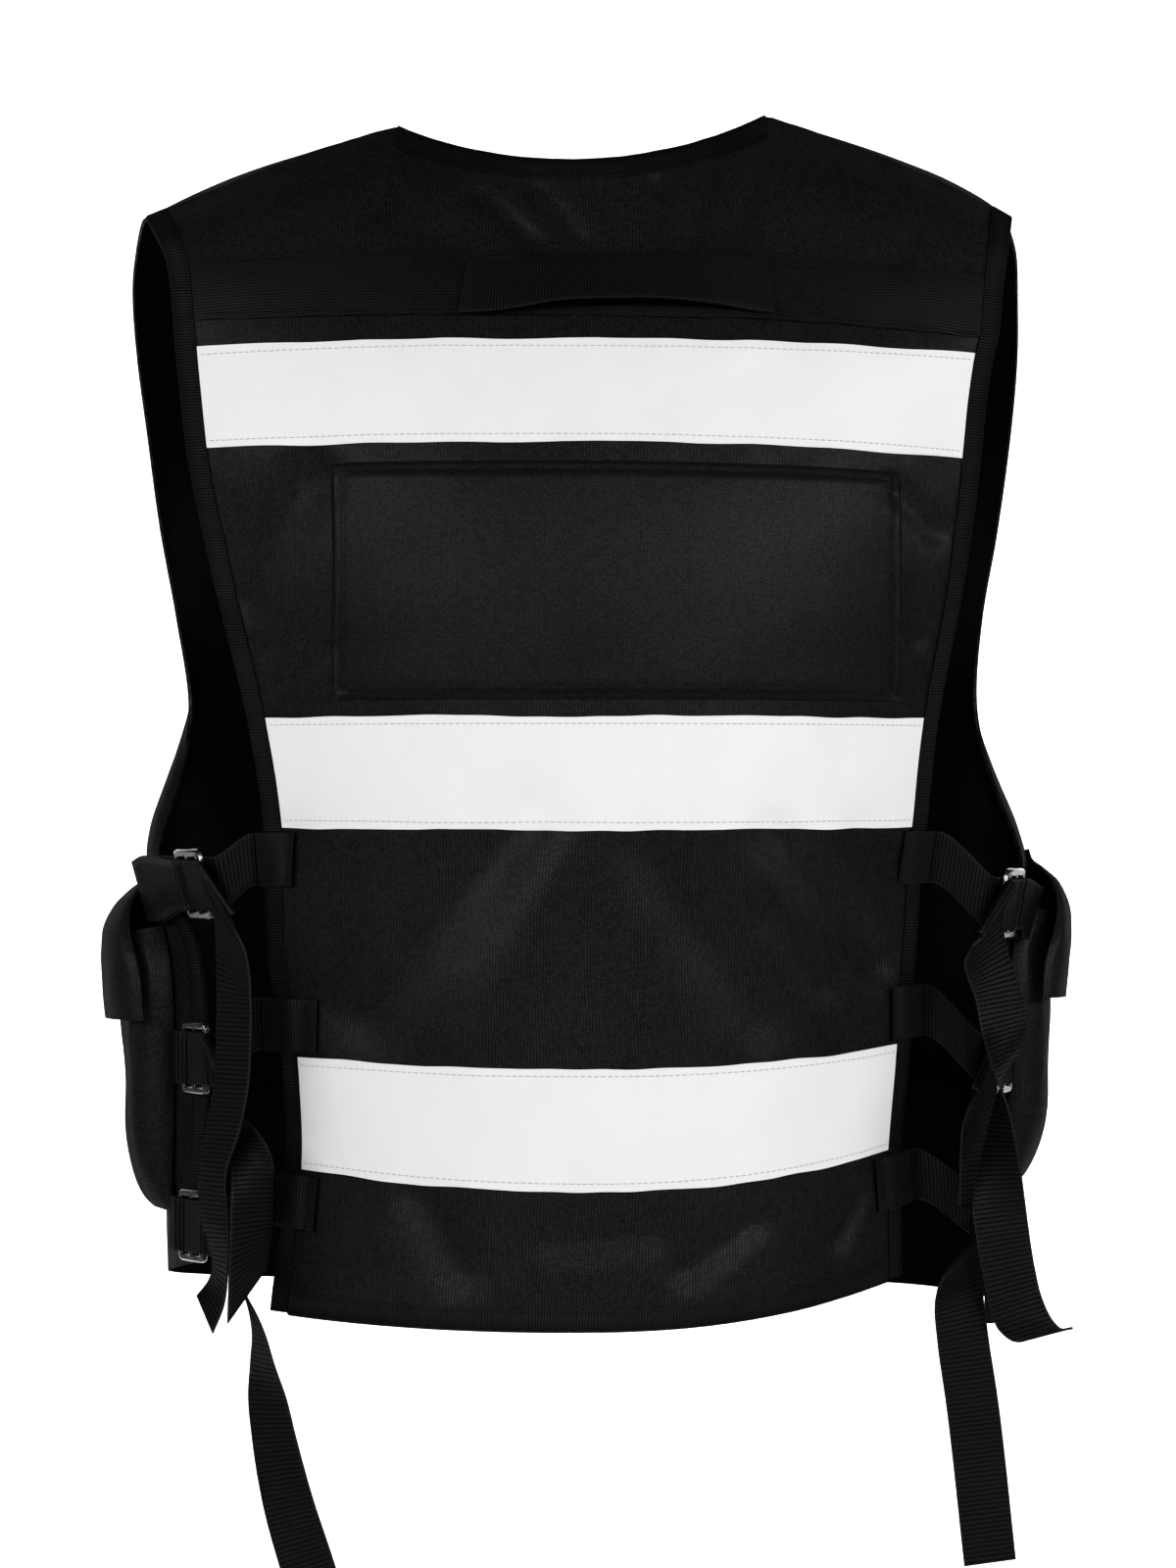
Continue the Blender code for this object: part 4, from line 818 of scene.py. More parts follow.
class Graph:
    """A material's nodes, built up by short calls."""

    def __init__(self, name):
        self.material = bpy.data.materials.new(name)
        self.material.use_nodes = True
        self.nodes = self.material.node_tree.nodes
        self.links = self.material.node_tree.links
        self.shader = self.nodes["Principled BSDF"]

    def put(self, socket, value):
        if isinstance(value, bpy.types.NodeSocket):
            self.links.new(value, socket)
        else:
            socket.default_value = value

    def math(self, operation, first, second=0.0, third=0.0):
        node = self.nodes.new("ShaderNodeMath")
        node.operation = operation
        for socket, value in zip(node.inputs, (first, second, third)):
            self.put(socket, value)
        return node.outputs[0]

    def cloth_place(self):
        """The cloth's own coordinates, in metres."""
        node = self.nodes.new("ShaderNodeUVMap")
        node.uv_map = "cloth"
        return node.outputs[0]

    def noise(self, where, scale, detail=3.0, rough=0.5):
        node = self.nodes.new("ShaderNodeTexNoise")
        self.put(node.inputs["Vector"], where)
        node.inputs["Scale"].default_value = scale
        node.inputs["Detail"].default_value = detail
        node.inputs["Roughness"].default_value = rough
        return node.outputs["Fac"]

    def object_place(self):
        return self.nodes.new("ShaderNodeTexCoord").outputs["Object"]

    def parts(self, vector):
        node = self.nodes.new("ShaderNodeSeparateXYZ")
        self.put(node.inputs[0], vector)
        return node.outputs[0], node.outputs[1]

    def colours(self, factor, low, high):
        node = self.nodes.new("ShaderNodeMix")
        node.data_type = "RGBA"
        self.put(node.inputs["Factor"], factor)
        self.put(node.inputs[6], (*low, 1))
        self.put(node.inputs[7], (*high, 1))
        return node.outputs[2]

    def bump(self, height, distance, strength=1.0):
        node = self.nodes.new("ShaderNodeBump")
        node.inputs["Strength"].default_value = strength
        node.inputs["Distance"].default_value = distance
        self.put(node.inputs["Height"], height)
        self.links.new(node.outputs[0], self.shader.inputs["Normal"])

    def finish(self, roughness, specular=0.5):
        self.put(self.shader.inputs["Roughness"], roughness)
        self.put(self.shader.inputs["Specular IOR Level"], specular)
        return self.material

    def gloss_facing(self, gloss):
        """A gloss that fades where the cloth is seen edge on, as its loose fibres hide it there."""
        facing = self.nodes.new("ShaderNodeLayerWeight").outputs["Facing"]
        return self.math("MULTIPLY", self.math("POWER", self.math("SUBTRACT", 1.0, facing), 3.0), gloss)


def uneven_threads(graph, u, v, least):
    """A share from least to 1 that differs from one thread's crossing to the next."""
    crossing = graph.nodes.new("ShaderNodeCombineXYZ")
    graph.put(crossing.inputs[0], graph.math("FLOOR", u))
    graph.put(crossing.inputs[1], graph.math("FLOOR", v))
    random = graph.nodes.new("ShaderNodeTexWhiteNoise")
    random.noise_dimensions = "2D"
    graph.put(random.inputs["Vector"], crossing.outputs[0])
    return graph.math("MULTIPLY_ADD", random.outputs["Value"], 1.0 - least, least)


def arch(graph, value, power=1.0):
    """The half wave of one thread: 0 at whole numbers, 1 between them."""
    wave = graph.math("ABSOLUTE", graph.math("SINE", graph.math("MULTIPLY", value, math.pi)))
    return wave if power == 1.0 else graph.math("POWER", wave, power)


def plain_weave(graph, across, down, pitch_across, pitch_down):
    """The height of plain woven cloth, 0 to 1: two sets of threads that pass over each other by turns."""
    u = graph.math("DIVIDE", across, pitch_across)
    v = graph.math("DIVIDE", down, pitch_down)
    cell = graph.math("ADD", graph.math("FLOOR", u), graph.math("FLOOR", v))
    turn = graph.math("FLOORED_MODULO", cell, 2.0)
    warp = graph.math("MULTIPLY", arch(graph, u, 0.6), graph.math("MULTIPLY_ADD", arch(graph, v), 0.5, 0.5))
    weft = graph.math("MULTIPLY", arch(graph, v, 0.6), graph.math("MULTIPLY_ADD", arch(graph, u), 0.5, 0.5))
    other = graph.math("MULTIPLY", weft, turn)
    return graph.math("MULTIPLY_ADD", warp, graph.math("SUBTRACT", 1.0, turn), other)


def canvas_material(name, pitch_across, pitch_down, dark, light, gloss, depth=0.00004):
    """Matt woven canvas. Its colour carries painted shade in the hollows of its weave, and a random tone."""
    graph = Graph(name)
    place = graph.cloth_place()
    across, down = graph.parts(place)
    wobble = graph.math("MULTIPLY_ADD", graph.noise(place, 120.0), 0.0011, -0.00055)
    across = graph.math("ADD", across, wobble)
    down = graph.math("ADD", down, wobble)
    weave = plain_weave(graph, across, down, pitch_across, pitch_down)
    uneven = graph.noise(place, 900.0, 2.0)
    height = graph.math("MULTIPLY_ADD", uneven, 0.25, weave)
    graph.bump(height, depth)
    cloudy = graph.math("MULTIPLY_ADD", graph.noise(place, 14.0, 4.0), 0.6, 0.7)
    threads = (graph.math("DIVIDE", across, pitch_across), graph.math("DIVIDE", down, pitch_down))
    cloudy = graph.math("MULTIPLY", cloudy, uneven_threads(graph, *threads, 0.5))
    # Painted shade: the colour sinks towards the dark end where the threads dip between crossings. It is
    # multiplied by a random tone that differs across the cloth and from one crossing to the next.
    weave_shade_and_tone = graph.math("MULTIPLY", graph.math("POWER", height, 1.6), cloudy)
    graph.put(graph.shader.inputs["Base Color"], graph.colours(weave_shade_and_tone, dark, light))
    roughness = graph.math("MULTIPLY_ADD", weave, -0.08, 0.42)
    gloss = graph.math("MULTIPLY", graph.gloss_facing(gloss), graph.math("MULTIPLY_ADD", weave_shade_and_tone, 1.6, 0.3))
    return graph.finish(roughness, gloss)


def ribbed_material(name, rib, fine, dark, light, depth=0.00014, edge=None):
    """Webbing or binding tape, with ribs across its length and fine threads along it. Its colour carries
    painted shade between the ribs.
    """
    graph = Graph(name)
    place = graph.cloth_place()
    across, along = graph.parts(place)
    wobble = graph.math("MULTIPLY_ADD", graph.noise(place, 150.0), 0.0008, -0.0004)
    ribs = arch(graph, graph.math("DIVIDE", graph.math("ADD", along, wobble), rib), 0.7)
    threads = arch(graph, graph.math("DIVIDE", across, fine), 0.8)
    height = graph.math("MULTIPLY", ribs, graph.math("MULTIPLY_ADD", threads, 0.35, 0.65))
    height = graph.math("MULTIPLY_ADD", graph.noise(place, 1100.0, 2.0), 0.25, height)
    if edge:
        past = graph.math("SUBTRACT", graph.math("ABSOLUTE", across), edge)
        selvedge = graph.math("SMOOTH_MIN", graph.math("MULTIPLY", past, 900.0), 1.0, 0.2)
        selvedge = graph.math("MAXIMUM", selvedge, 0.0)
        height = graph.math("MULTIPLY_ADD", selvedge, 0.6, height)
    graph.bump(height, depth)
    cloudy = graph.math("MULTIPLY_ADD", graph.noise(place, 20.0, 4.0), 0.6, 0.7)
    # Painted shade: the colour sinks towards the dark end between the ribs and threads, rises on the raised
    # selvedges, and is multiplied by a random cloudy tone.
    weave_shade_and_tone = graph.math("MULTIPLY", graph.math("POWER", height, 1.6), cloudy)
    graph.put(graph.shader.inputs["Base Color"], graph.colours(weave_shade_and_tone, dark, light))
    roughness = graph.math("MULTIPLY_ADD", ribs, -0.12, 0.56)
    glossy = graph.math("MULTIPLY_ADD", weave_shade_and_tone, 1.6, 0.3)
    gloss = graph.math("MULTIPLY", graph.gloss_facing(WEBBING_GLOSS), glossy)
    return graph.finish(roughness, gloss)


def reflective_material():
    """Smooth white reflective tape."""
    graph = Graph("white_reflective")
    place = graph.cloth_place()
    fine = graph.noise(place, 2600.0, 2.0)
    soft = graph.noise(place, 22.0, 3.0)
    height = graph.math("MULTIPLY_ADD", fine, 0.25, soft)
    graph.bump(height, 0.0002, 0.6)
    # Painted shade: the tape turns greyer where its soft dents sink, since the same noise gives their bump.
    colour = graph.colours(soft, (0.585, 0.59, 0.595), (0.645, 0.645, 0.645))
    graph.put(graph.shader.inputs["Base Color"], colour)
    return graph.finish(0.5, 0.2)


def plastic_material():
    """Glossy moulded plastic with faint moulding haze."""
    graph = Graph("black_plastic")
    haze = graph.noise(graph.object_place(), 700.0, 3.0)
    graph.bump(haze, 0.00003, 0.5)
    colour = graph.colours(haze, (0.003, 0.003, 0.003), (0.008, 0.008, 0.009))
    graph.put(graph.shader.inputs["Base Color"], colour)
    return graph.finish(graph.math("MULTIPLY_ADD", haze, 0.12, 0.10), 0.6)


def thread_material(name, dark, light):
    """Twisted sewing thread."""
    graph = Graph(name)
    twist = graph.noise(graph.object_place(), 2500.0, 2.0)
    graph.bump(twist, 0.0001)
    graph.put(graph.shader.inputs["Base Color"], graph.colours(twist, dark, light))
    return graph.finish(0.6, THREAD_GLOSS)


def plain_material(name, colour):
    graph = Graph(name)
    graph.put(graph.shader.inputs["Base Color"], (*colour, 1))
    return graph.finish(0.9, 0.1)


RIB = 1.35
RIB_RELIEF = 0.36
CLOTH_GLOSS = 0.055
SHADED_INSIDE_GLOSS = 0.02
THREAD_GLOSS = 0.04
WEBBING_GLOSS = 0.038
MATERIALS = {}


def make_materials():
    # black is the colour that each cloth sinks to in the hollows of its weave or ribs: painted shade there.
    black = (0.0004,) * 3
    canvas, patch, shaded_inside = (0.0105, 0.0105, 0.0107), (0.009, 0.009, 0.0092), (0.003, 0.003, 0.0031)
    webbing, wide, binding = (0.004, 0.004, 0.0042), (0.0065, 0.0065, 0.0067), (0.005, 0.005, 0.0052)
    MATERIALS["canvas"] = canvas_material("black_canvas", 0.00145, 0.001, black, canvas, CLOTH_GLOSS)
    MATERIALS["patch"] = canvas_material("black_patch_canvas", 0.001, 0.0008, black, patch, CLOTH_GLOSS)
    # The cloth's inside faces get a much darker copy of the canvas with less gloss: painted shade, as the
    # inside of the vest lies in shade.
    MATERIALS["shaded_inside"] = canvas_material("black_shaded_inside", 0.001, 0.001, black, shaded_inside, SHADED_INSIDE_GLOSS)
    MATERIALS["webbing"] = ribbed_material("black_webbing", 0.0022, 0.0014, black, webbing, edge=0.0112)
    MATERIALS["wide"] = ribbed_material("black_wide_webbing", 0.0014, 0.0011, black, wide)
    MATERIALS["binding"] = ribbed_material("black_binding", RIB * MM, 0.0014, black, binding)
    MATERIALS["reflective"] = reflective_material()
    MATERIALS["plastic"] = plastic_material()
    MATERIALS["grey_thread"] = thread_material("grey_thread", (0.28, 0.28, 0.29), (0.5, 0.5, 0.51))
    MATERIALS["black_thread"] = thread_material("black_thread", (0.0005,) * 3, (0.002,) * 3)


# The cloth of the back and the fronts


def make_back():
    downs = steps_between([BACK_ROWS[0].down, NECK_LINE, *range(20, 540, 20), BACK_ROWS[-1].down], FINE)
    shares = steps_between([-1, -SIDE_LINE, -NECK_POINT, 0, NECK_POINT, SIDE_LINE, 1], FINE / 172)
    across, down = np.meshgrid(shares, downs)
    grids = [on_back(across, down, stand) for stand in (0.0, -CLOTH)]
    cloth_piece("back_panel", grids, "canvas", "shaded_inside")


def make_front(side):
    rows = steps_between([0, 0.5, *range(1, HEM_ROW + 1)], 0.085)
    shares = steps_between([0, FRONT_LINE, 1], COARSE / 340)
    across, row = np.meshgrid(shares, rows)
    points = front_points(side, across, row)
    normals = front_normals(side, across, row)
    relief = 0.6 * waves(31, points[:, 0], points[:, 2], (110.0, 50.0, 24.0))
    relief *= smoothstep(1, 0.93, across.ravel())
    relief *= smoothstep(0, 0.06, across.ravel()) * smoothstep(0.0, 0.6, row.ravel())
    grids = [(points + normals * (relief - step)[:, None]).reshape(*across.shape, 3) for step in (0.0, CLOTH)]
    cloth_piece(f"front_panel_{side}", grids, "canvas", "shaded_inside")


def make_back_bindings():
    downs = steps_between([BACK_ROWS[0].down, BACK_ROWS[-1].down], 6.0)
    for side, sign in (("left", -1.0), ("right", 1.0)):
        edge, line = np.full(len(downs), sign), np.full(len(downs), sign * SIDE_LINE)
        add_binding(f"armhole_binding_{side}", edge, downs, line, downs)
    neck = np.linspace(-NECK_POINT + 0.004, NECK_POINT - 0.004, 60)
    add_binding("neck_binding_back", neck, np.full(60, BACK_ROWS[0].down), neck, np.full(60, NECK_LINE))
    end = SIDE_LINE - 4 * GAP / 290
    hem = np.linspace(-end, end, 60)
    add_binding("hem_binding", hem, np.full(60, BACK_ROWS[-1].down), hem, np.full(60, HEM_LINE))


def add_binding(name, across, down, inner_across, inner_down):
    rim, inner = on_back(across, down), on_back(inner_across, inner_down)
    faces = back_normals(across, down), back_normals(inner_across, inner_down)
    piece = folded_binding(name, rim, inner, *faces, MATERIALS["binding"], [name])


def make_front_binding(side):
    rows = np.linspace(UNDERARM_ROW + 0.5, HEM_ROW, 40)
    edge, line = np.ones(40), np.full(40, FRONT_LINE)
    rim, inner = front_points(side, edge, rows), front_points(side, line, rows)
    faces = front_normals(side, edge, rows), front_normals(side, line, rows)
    name = f"front_edge_binding_{side}"
    folded_binding(name, rim, inner, *faces, MATERIALS["binding"], [name])


# What is sewn on the back and the fronts


def strip_end(down):
    """The share across the back at which a strip meets the side binding."""
    return SIDE_LINE - 4 * GAP / float(back_width(down)[0])


def make_sewn_strip(name, span, thickness, cloth, edge_wave):
    """A strip of tape or webbing sewn across the whole back."""
    low, high = span
    downs = steps_between([low, (low + high) / 2, high], FINE)
    end = min(strip_end(low), strip_end(high))
    shares = steps_between([-end, 0, end], FINE / 172)
    across, down = np.meshgrid(shares, downs)
    edge = np.abs(2 * (down - low) / (high - low) - 1) ** 6
    down = down + edge_wave * edge * waves(int(low), across * 172, down * 0.1, (60.0, 25.0))
    grids = [on_back(across, down, stand) for stand in (GAP + thickness, GAP)]
    cloth_piece(name, grids, cloth)


def make_strips():
    for name, span in STRIPS.items():
        make_sewn_strip(f"reflective_strip_{name}", span, TAPE_CLOTH, "reflective", 0.5)
    make_sewn_strip("shoulder_webbing", SHOULDER_WEBBING, WEBBING, "wide", 0.4)


def make_patch():
    """The plain panel between two strips: its edges are turned under and sewn a little inside the rim."""
    low, high = PATCH_DOWN
    downs = steps_between([low, low + 4, high - 4, high], 2.0)
    rim_shares = np.linspace(0, 1, 130)
    left = np.array([back_across(PATCH_LEFT, d) for d in downs])[:, None]
    right = np.array([back_across(PATCH_RIGHT, d) for d in downs])[:, None]
    across = left + (right - left) * rim_shares[None]
    down = np.repeat(downs[:, None], len(rim_shares), axis=1)
    width = PATCH_RIGHT - PATCH_LEFT
    from_sides = width * np.minimum(rim_shares, 1 - rim_shares)[None]
    inside = np.minimum(np.minimum(down - low, high - down), from_sides)
    seam = np.exp(-(((inside - PATCH_INSET) / 1.1) ** 2))
    rounding = np.sqrt(np.clip(inside / 1.2, 0, 1))
    top = PATCH_STAND + PATCH_CLOTH * (0.35 + 0.65 * rounding) - PATCH_SEAM * seam
    grids = [on_back(across, down, stand) for stand in (top, 0.5)]
    cloth_piece("patch_panel", grids, "patch")


def make_handle():
    stations = []
    for row in HANDLE_ROWS:
        down = -row.z
        across = np.array([back_across(row.x, down)])
        face = back_normals(across, down)[0]
        point = back_points(across, down)[0] + face * (GAP + WEBBING + row.out)
        tilted = unit(face + np.array([0, 0, -math.tan(math.radians(row.tilt))]))
        stations.append((point, tilted))
    pairs = crosswise(stations, HANDLE_WIDTH)
    piece = band("drag_handle", pairs, WEBBING, MATERIALS["wide"], ["drag_handle"])


def make_front_strip(side):
    low, high = FRONT_STRIP_DOWN
    shares = np.linspace(*FRONT_STRIP_ACROSS, 90)
    heights = POCKET_LIFT[side] - np.linspace(low, high, 16)
    across, z = np.meshgrid(shares, heights)
    grids = [over_front(side, across, z, stand) for stand in (1.2 + TAPE_CLOTH, 1.2)]
    cloth_piece(f"front_strip_{side}", grids, "reflective")


def make_zip():
    """The closed zip: tape behind both fronts, and the chain's teeth between them."""
    rows = np.linspace(ZIP_ROW, HEM_ROW, 160)
    middle = (front_points("left", 0 * rows, rows) + front_points("right", 0 * rows, rows)) / 2
    line = through(lengths_along(middle), middle, np.arange(0, lengths_along(middle)[-1], 0.8))
    places = lengths_along(line)
    teeth = 0.35 * (np.sin(places * 2 * math.pi / 3.2) > 0)
    back = -CLOTH - GAP
    tape = [(-12, back - TAPE), (12, back - TAPE), (12, back)]
    profile = tape + [(3, back), (2.6, 0.4), (-2.6, 0.4), (-3, back), (-12, back)]
    raised = np.array([0, 0, 0, 0, 1, 1, 0, 0])
    across = np.array([x for x, _ in profile])
    rings = line[:, None] + np.zeros((1, 8, 3))
    rings[:, :, 0] += across
    rings[:, :, 1] += np.array([y for _, y in profile]) + teeth[:, None] * raised * 2
    piece = sweep("front_zip", rings, across, places, MATERIALS["webbing"], ["front_zip"])


# Pockets


def rounded(share, power=2.6, root=2.2):
    """The height of a bulge across its width: 0 at shares 0 and 1, and 1 in the middle."""
    return np.maximum(0.0, 1 - np.abs(2 * share - 1) ** power) ** (1 / root)


def offset_grid(grid, distance):
    """The same grid moved by a distance along its own outward directions."""
    normals = unit(np.cross(np.gradient(grid, axis=1), np.gradient(grid, axis=0)))
    middle = len(grid) // 2, len(grid[0]) // 2
    if np.dot(normals[middle], grid[middle] - TORSO_CENTRE) < 0:
        normals = -normals
    return grid + distance * normals


def make_pocket(side):
    """A bag of cloth sewn on a front half, gathered along its open top under the flap."""
    first, last = POCKET_ACROSS
    top, bottom = POCKET_TOP + POCKET_LIFT[side], POCKET_BOTTOM + POCKET_LIFT[side]
    shares = (1 - np.cos(np.linspace(0, math.pi, 121))) / 2
    heights = np.linspace(0, 1, 101)
    share, height = np.meshgrid(shares, heights)
    bulge = rounded(share) * rounded(0.5 + np.maximum(0.0, height - 0.3) / 1.4)
    along, down = share * 165, height * 137
    folds = waves(41 if side == "left" else 42, along, down * 0.45, (70.0, 32.0))
    gathers = np.sin(along * 2 * math.pi / 13 + 2 * waves(43, along, down, (60.0,))) * np.exp(-down / 26)
    dent = -3.0 * np.exp(-(((share - 0.66) / 0.16) ** 2) - ((height - 0.55) / 0.14) ** 2)
    relief = (1.5 * folds + 0.7 * gathers + dent) * smoothstep(0.0, 0.5, bulge)
    stand = POCKET_RIM + (POCKET_STAND - POCKET_RIM) * bulge + relief
    across = first + (last - first) * share
    outer = over_front(side, across, top + (bottom - top) * height, stand)
    grids = outer, offset_grid(outer, -POCKET_CLOTH)
    cloth_piece(f"pocket_{side}", grids, "canvas")


def make_flap(side):
    """The pocket's flap: it leaves the front over the pocket, turns over and hangs down outside it."""
    first, last = FLAP_ACROSS
    table = np.array(FLAP_ROWS)
    places = lengths_along(table)
    rows = through(places, table, np.linspace(0, places[-1], 60))
    share, index = np.meshgrid(np.linspace(0, 1, 110), np.arange(60))
    height, stand = rows[index, 0], rows[index, 1]
    reach = 0.62 + 0.38 * rounded(share, 4.0, 2.0)
    rise = 0.7 * waves(51, share * 165, index * 1.2, (60.0, 28.0)) * smoothstep(3.0, 12.0, stand)
    over = FLAP_ROWS[0][1] + (stand - FLAP_ROWS[0][1]) * reach + rise
    outer = over_front(side, first + (last - first) * share, height + POCKET_LIFT[side], over)
    grids = outer, offset_grid(outer, -FLAP_CLOTH)
    cloth_piece(f"pocket_flap_{side}", grids, "canvas")


# Side straps and adjusters


def fitting_frame(fitting):
    """The middle of an adjuster, the direction forward along its strap, its bars' direction, and outwards."""
    turn, lean = math.radians(fitting.turn), math.radians(fitting.lean)
    out = np.array([math.sin(turn), -math.cos(turn), 0.0])
    up = np.array([0.0, 0.0, 1.0])
    forward = np.cross(up, out) * (1 if fitting.side == "right" else -1)
    bars = up * math.cos(lean) + out * math.sin(lean)
    out = out * math.cos(lean) - up * math.sin(lean)
    return np.array([fitting.x, fitting.y, fitting.z]), forward, bars, out


def make_adjuster(fitting):
    """A moulded frame with two slots, with rounded edges."""
    middle, forward, bars, out = fitting_frame(fitting)
    wide, long = FRAME_WIDE / 2, FRAME_LONG / 2
    slot = STRAP_WIDTH / 2 + 0.9
    us = [-wide, -wide + BAR, -MIDDLE_BAR / 2, MIDDLE_BAR / 2, wide - BAR, wide]
    vs = [-long, -slot, slot, long]
    cells = {(i, j) for i in range(5) for j in range(3)} - {(1, 1), (3, 1)}
    points, index = [], {}
    for level, height in enumerate((-FRAME_HALF, FRAME_HALF)):
        for i, u in enumerate(us):
            for j, v in enumerate(vs):
                cut = 0.8 if i in (0, 5) and j in (0, 3) else 0.0
                index[level, i, j] = len(points)
                place = forward * (u - math.copysign(cut, u)) + bars * (v - math.copysign(cut, v))
                points.append(middle + place + out * height)
    faces = []
    for i, j in sorted(cells):
        ring = [(i, j), (i + 1, j), (i + 1, j + 1), (i, j + 1)]
        faces.append([index[1, a, b] for a, b in ring])
        faces.append([index[0, a, b] for a, b in reversed(ring)])
        beside = [(i, j - 1), (i + 1, j), (i, j + 1), (i - 1, j)]
        for k in range(4):
            if beside[k] not in cells:
                a, b = ring[k], ring[(k + 1) % 4]
                faces.append([index[0, *a], index[0, *b], index[1, *b], index[1, *a]])
    name = f"buckle_{fitting.side}_{fitting.level}"
    piece = make_piece(name, points, faces, np.zeros((len(points), 2)), MATERIALS["plastic"], [name])
    bevel = piece.modifiers.new("rounded_edges", "BEVEL")
    bevel.width = 0.9 * MM
    bevel.segments = 3
    bevel.limit_method = "ANGLE"


def make_buckle_loop(fitting):
    """Webbing sewn on the front half, that goes round the adjuster's front bar and back."""
    middle, forward, bars, out = fitting_frame(fitting)
    level = fitting.z + LOOP_DROP[fitting.level]
    ends = np.array([level + STRAP_WIDTH / 2, level - STRAP_WIDTH / 2])
    stand = LOOP_STAND[fitting.level]
    half = bars * STRAP_WIDTH / 2
    turn = [middle + forward * u + out * n for u, n in LOOP_ROWS]
    pairs = [tuple(over_front(fitting.side, share, ends, stand)) for share in LOOP_SEWN_UNDER]
    pairs += [(point + half, point - half) for point in turn]
    over = stand + LAYER_STEP
    pairs += [tuple(over_front(fitting.side, share, ends, over)) for share in LOOP_SEWN_OVER]
    name = f"buckle_loop_{fitting.side}_{fitting.level}"
    band(name, pairs, WEBBING, MATERIALS["webbing"], [name], 0.8)


def tab_stations(fitting):
    """The tab's middle line: on the cloth, over the binding, and out past the edge."""
    sign = 1 if fitting.side == "right" else -1
    down = back_down_at(sign, fitting.tab)
    half = float(back_width(down)[0]) / 2
    on_cloth = TAB_STAND + WEBBING / 2
    on_binding = on_cloth + GAP + TAPE
    rows = [
        (fitting.inwards, on_cloth),
        (SIDE_BINDING + 2.0, on_cloth),
        (SIDE_BINDING - 0.5, on_binding),
        (1.0, on_binding),
    ]
    stations = []
    for inwards, height in rows:
        across = np.array([sign * (1 - inwards / half)])
        face = back_normals(across, down)[0]
        stations.append((back_points(across, down)[0] + face * height, face))
    edge, inner = back_points(np.array([sign, sign * SIDE_LINE]), down)
    face = back_normals(np.array([float(sign)]), down)[0]
    out = unit(edge - inner)
    stations.append((edge + out * fitting.outwards + face * (on_binding - GAP), face))
    return stations, out


def make_tab(fitting):
    stations, _ = tab_stations(fitting)
    name = f"strap_tab_{fitting.side}_{fitting.level}"
    band(name, crosswise(stations, TAB_HEIGHT), WEBBING, MATERIALS["wide"], [name], 0.8)


def make_side_strap(fitting):
    """An adjusting strap: from its tab to the adjuster, round the middle bar, and down as a hanging tail."""
    middle, forward, bars, out = fitting_frame(fitting)
    stations, past_edge = tab_stations(fitting)
    end, face = stations[-1]
    start = [(end + past_edge * step, face) for step in (2 * GAP, 2 * GAP + WEBBING)]
    half = bars * STRAP_WIDTH / 2
    wrap = [middle + forward * u + out * n for u, n in WRAP_ROWS]
    pairs = crosswise(start, STRAP_WIDTH)
    pairs += [(point + half, point - half) for point in wrap]
    pairs += [(np.array(row[:3]), np.array(row[3:])) for row in TAILS[fitting.side, fitting.level]]
    name = f"side_strap_{fitting.side}_{fitting.level}"
    band(name, pairs, WEBBING, MATERIALS["webbing"], [name], 0.9)


# Sewing

Box = namedtuple("Box", "left right top bottom")
CROSSED_BOXES = [Box(-87.0, -67.0, 52.5, 74.0), Box(81.0, 103.0, 52.5, 74.0)]
TAB_SEAM = 3.6
SEWN_TO = 0.945
STRIP_INSET = 3.5
WEBBING_INSET = 2.2
BINDING_INSET = 1.4
TAB_TOP = TAB_STAND + WEBBING


def on_back_line(across, down, stand):
    """A line on the back, with the directions that the cloth looks to there."""
    across, down = np.broadcast_arrays(np.asarray(across, float), np.asarray(down, float))
    return on_back(across, down, stand), back_normals(across, down)


def sew_strips():
    rows = []
    for low, high in STRIPS.values():
        shares = np.linspace(-SEWN_TO, SEWN_TO, 300)
        for down in (low + STRIP_INSET, high - STRIP_INSET):
            rows.append(stitch_row(*on_back_line(shares, down, GAP + TAPE_CLOTH)))
    make_stitches("strip_stitches", rows, MATERIALS["grey_thread"])


def crossed_box(box):
    """A stitched box with both of its diagonals, on the shoulder webbing."""
    corners = [(box.left, box.top), (box.right, box.top), (box.right, box.bottom), (box.left, box.bottom)]
    lines = [*zip(corners, corners[1:] + corners[:1]), (corners[0], corners[2]), (corners[1], corners[3])]
    rows = []
    for (x1, down1), (x2, down2) in lines:
        downs = np.linspace(down1, down2, 30)
        across = [back_across(x, down) for x, down in zip(np.linspace(x1, x2, 30), downs)]
        rows.append(stitch_row(*on_back_line(across, downs, GAP + WEBBING)))
    return rows


def tab_stitches(fitting):
    """The stitches that hold a tab on the back, a little inside its end."""
    sign = 1 if fitting.side == "right" else -1
    middle = back_down_at(sign, fitting.tab)
    downs = np.linspace(middle - 0.43 * TAB_HEIGHT, middle + 0.43 * TAB_HEIGHT, 30)
    half = float(back_width(middle)[0]) / 2
    across = sign * (1 - (fitting.inwards - TAB_SEAM) / half)
    faces = back_normals(across, downs)
    return stitch_row(back_points(across, downs) + faces * TAB_TOP, faces)


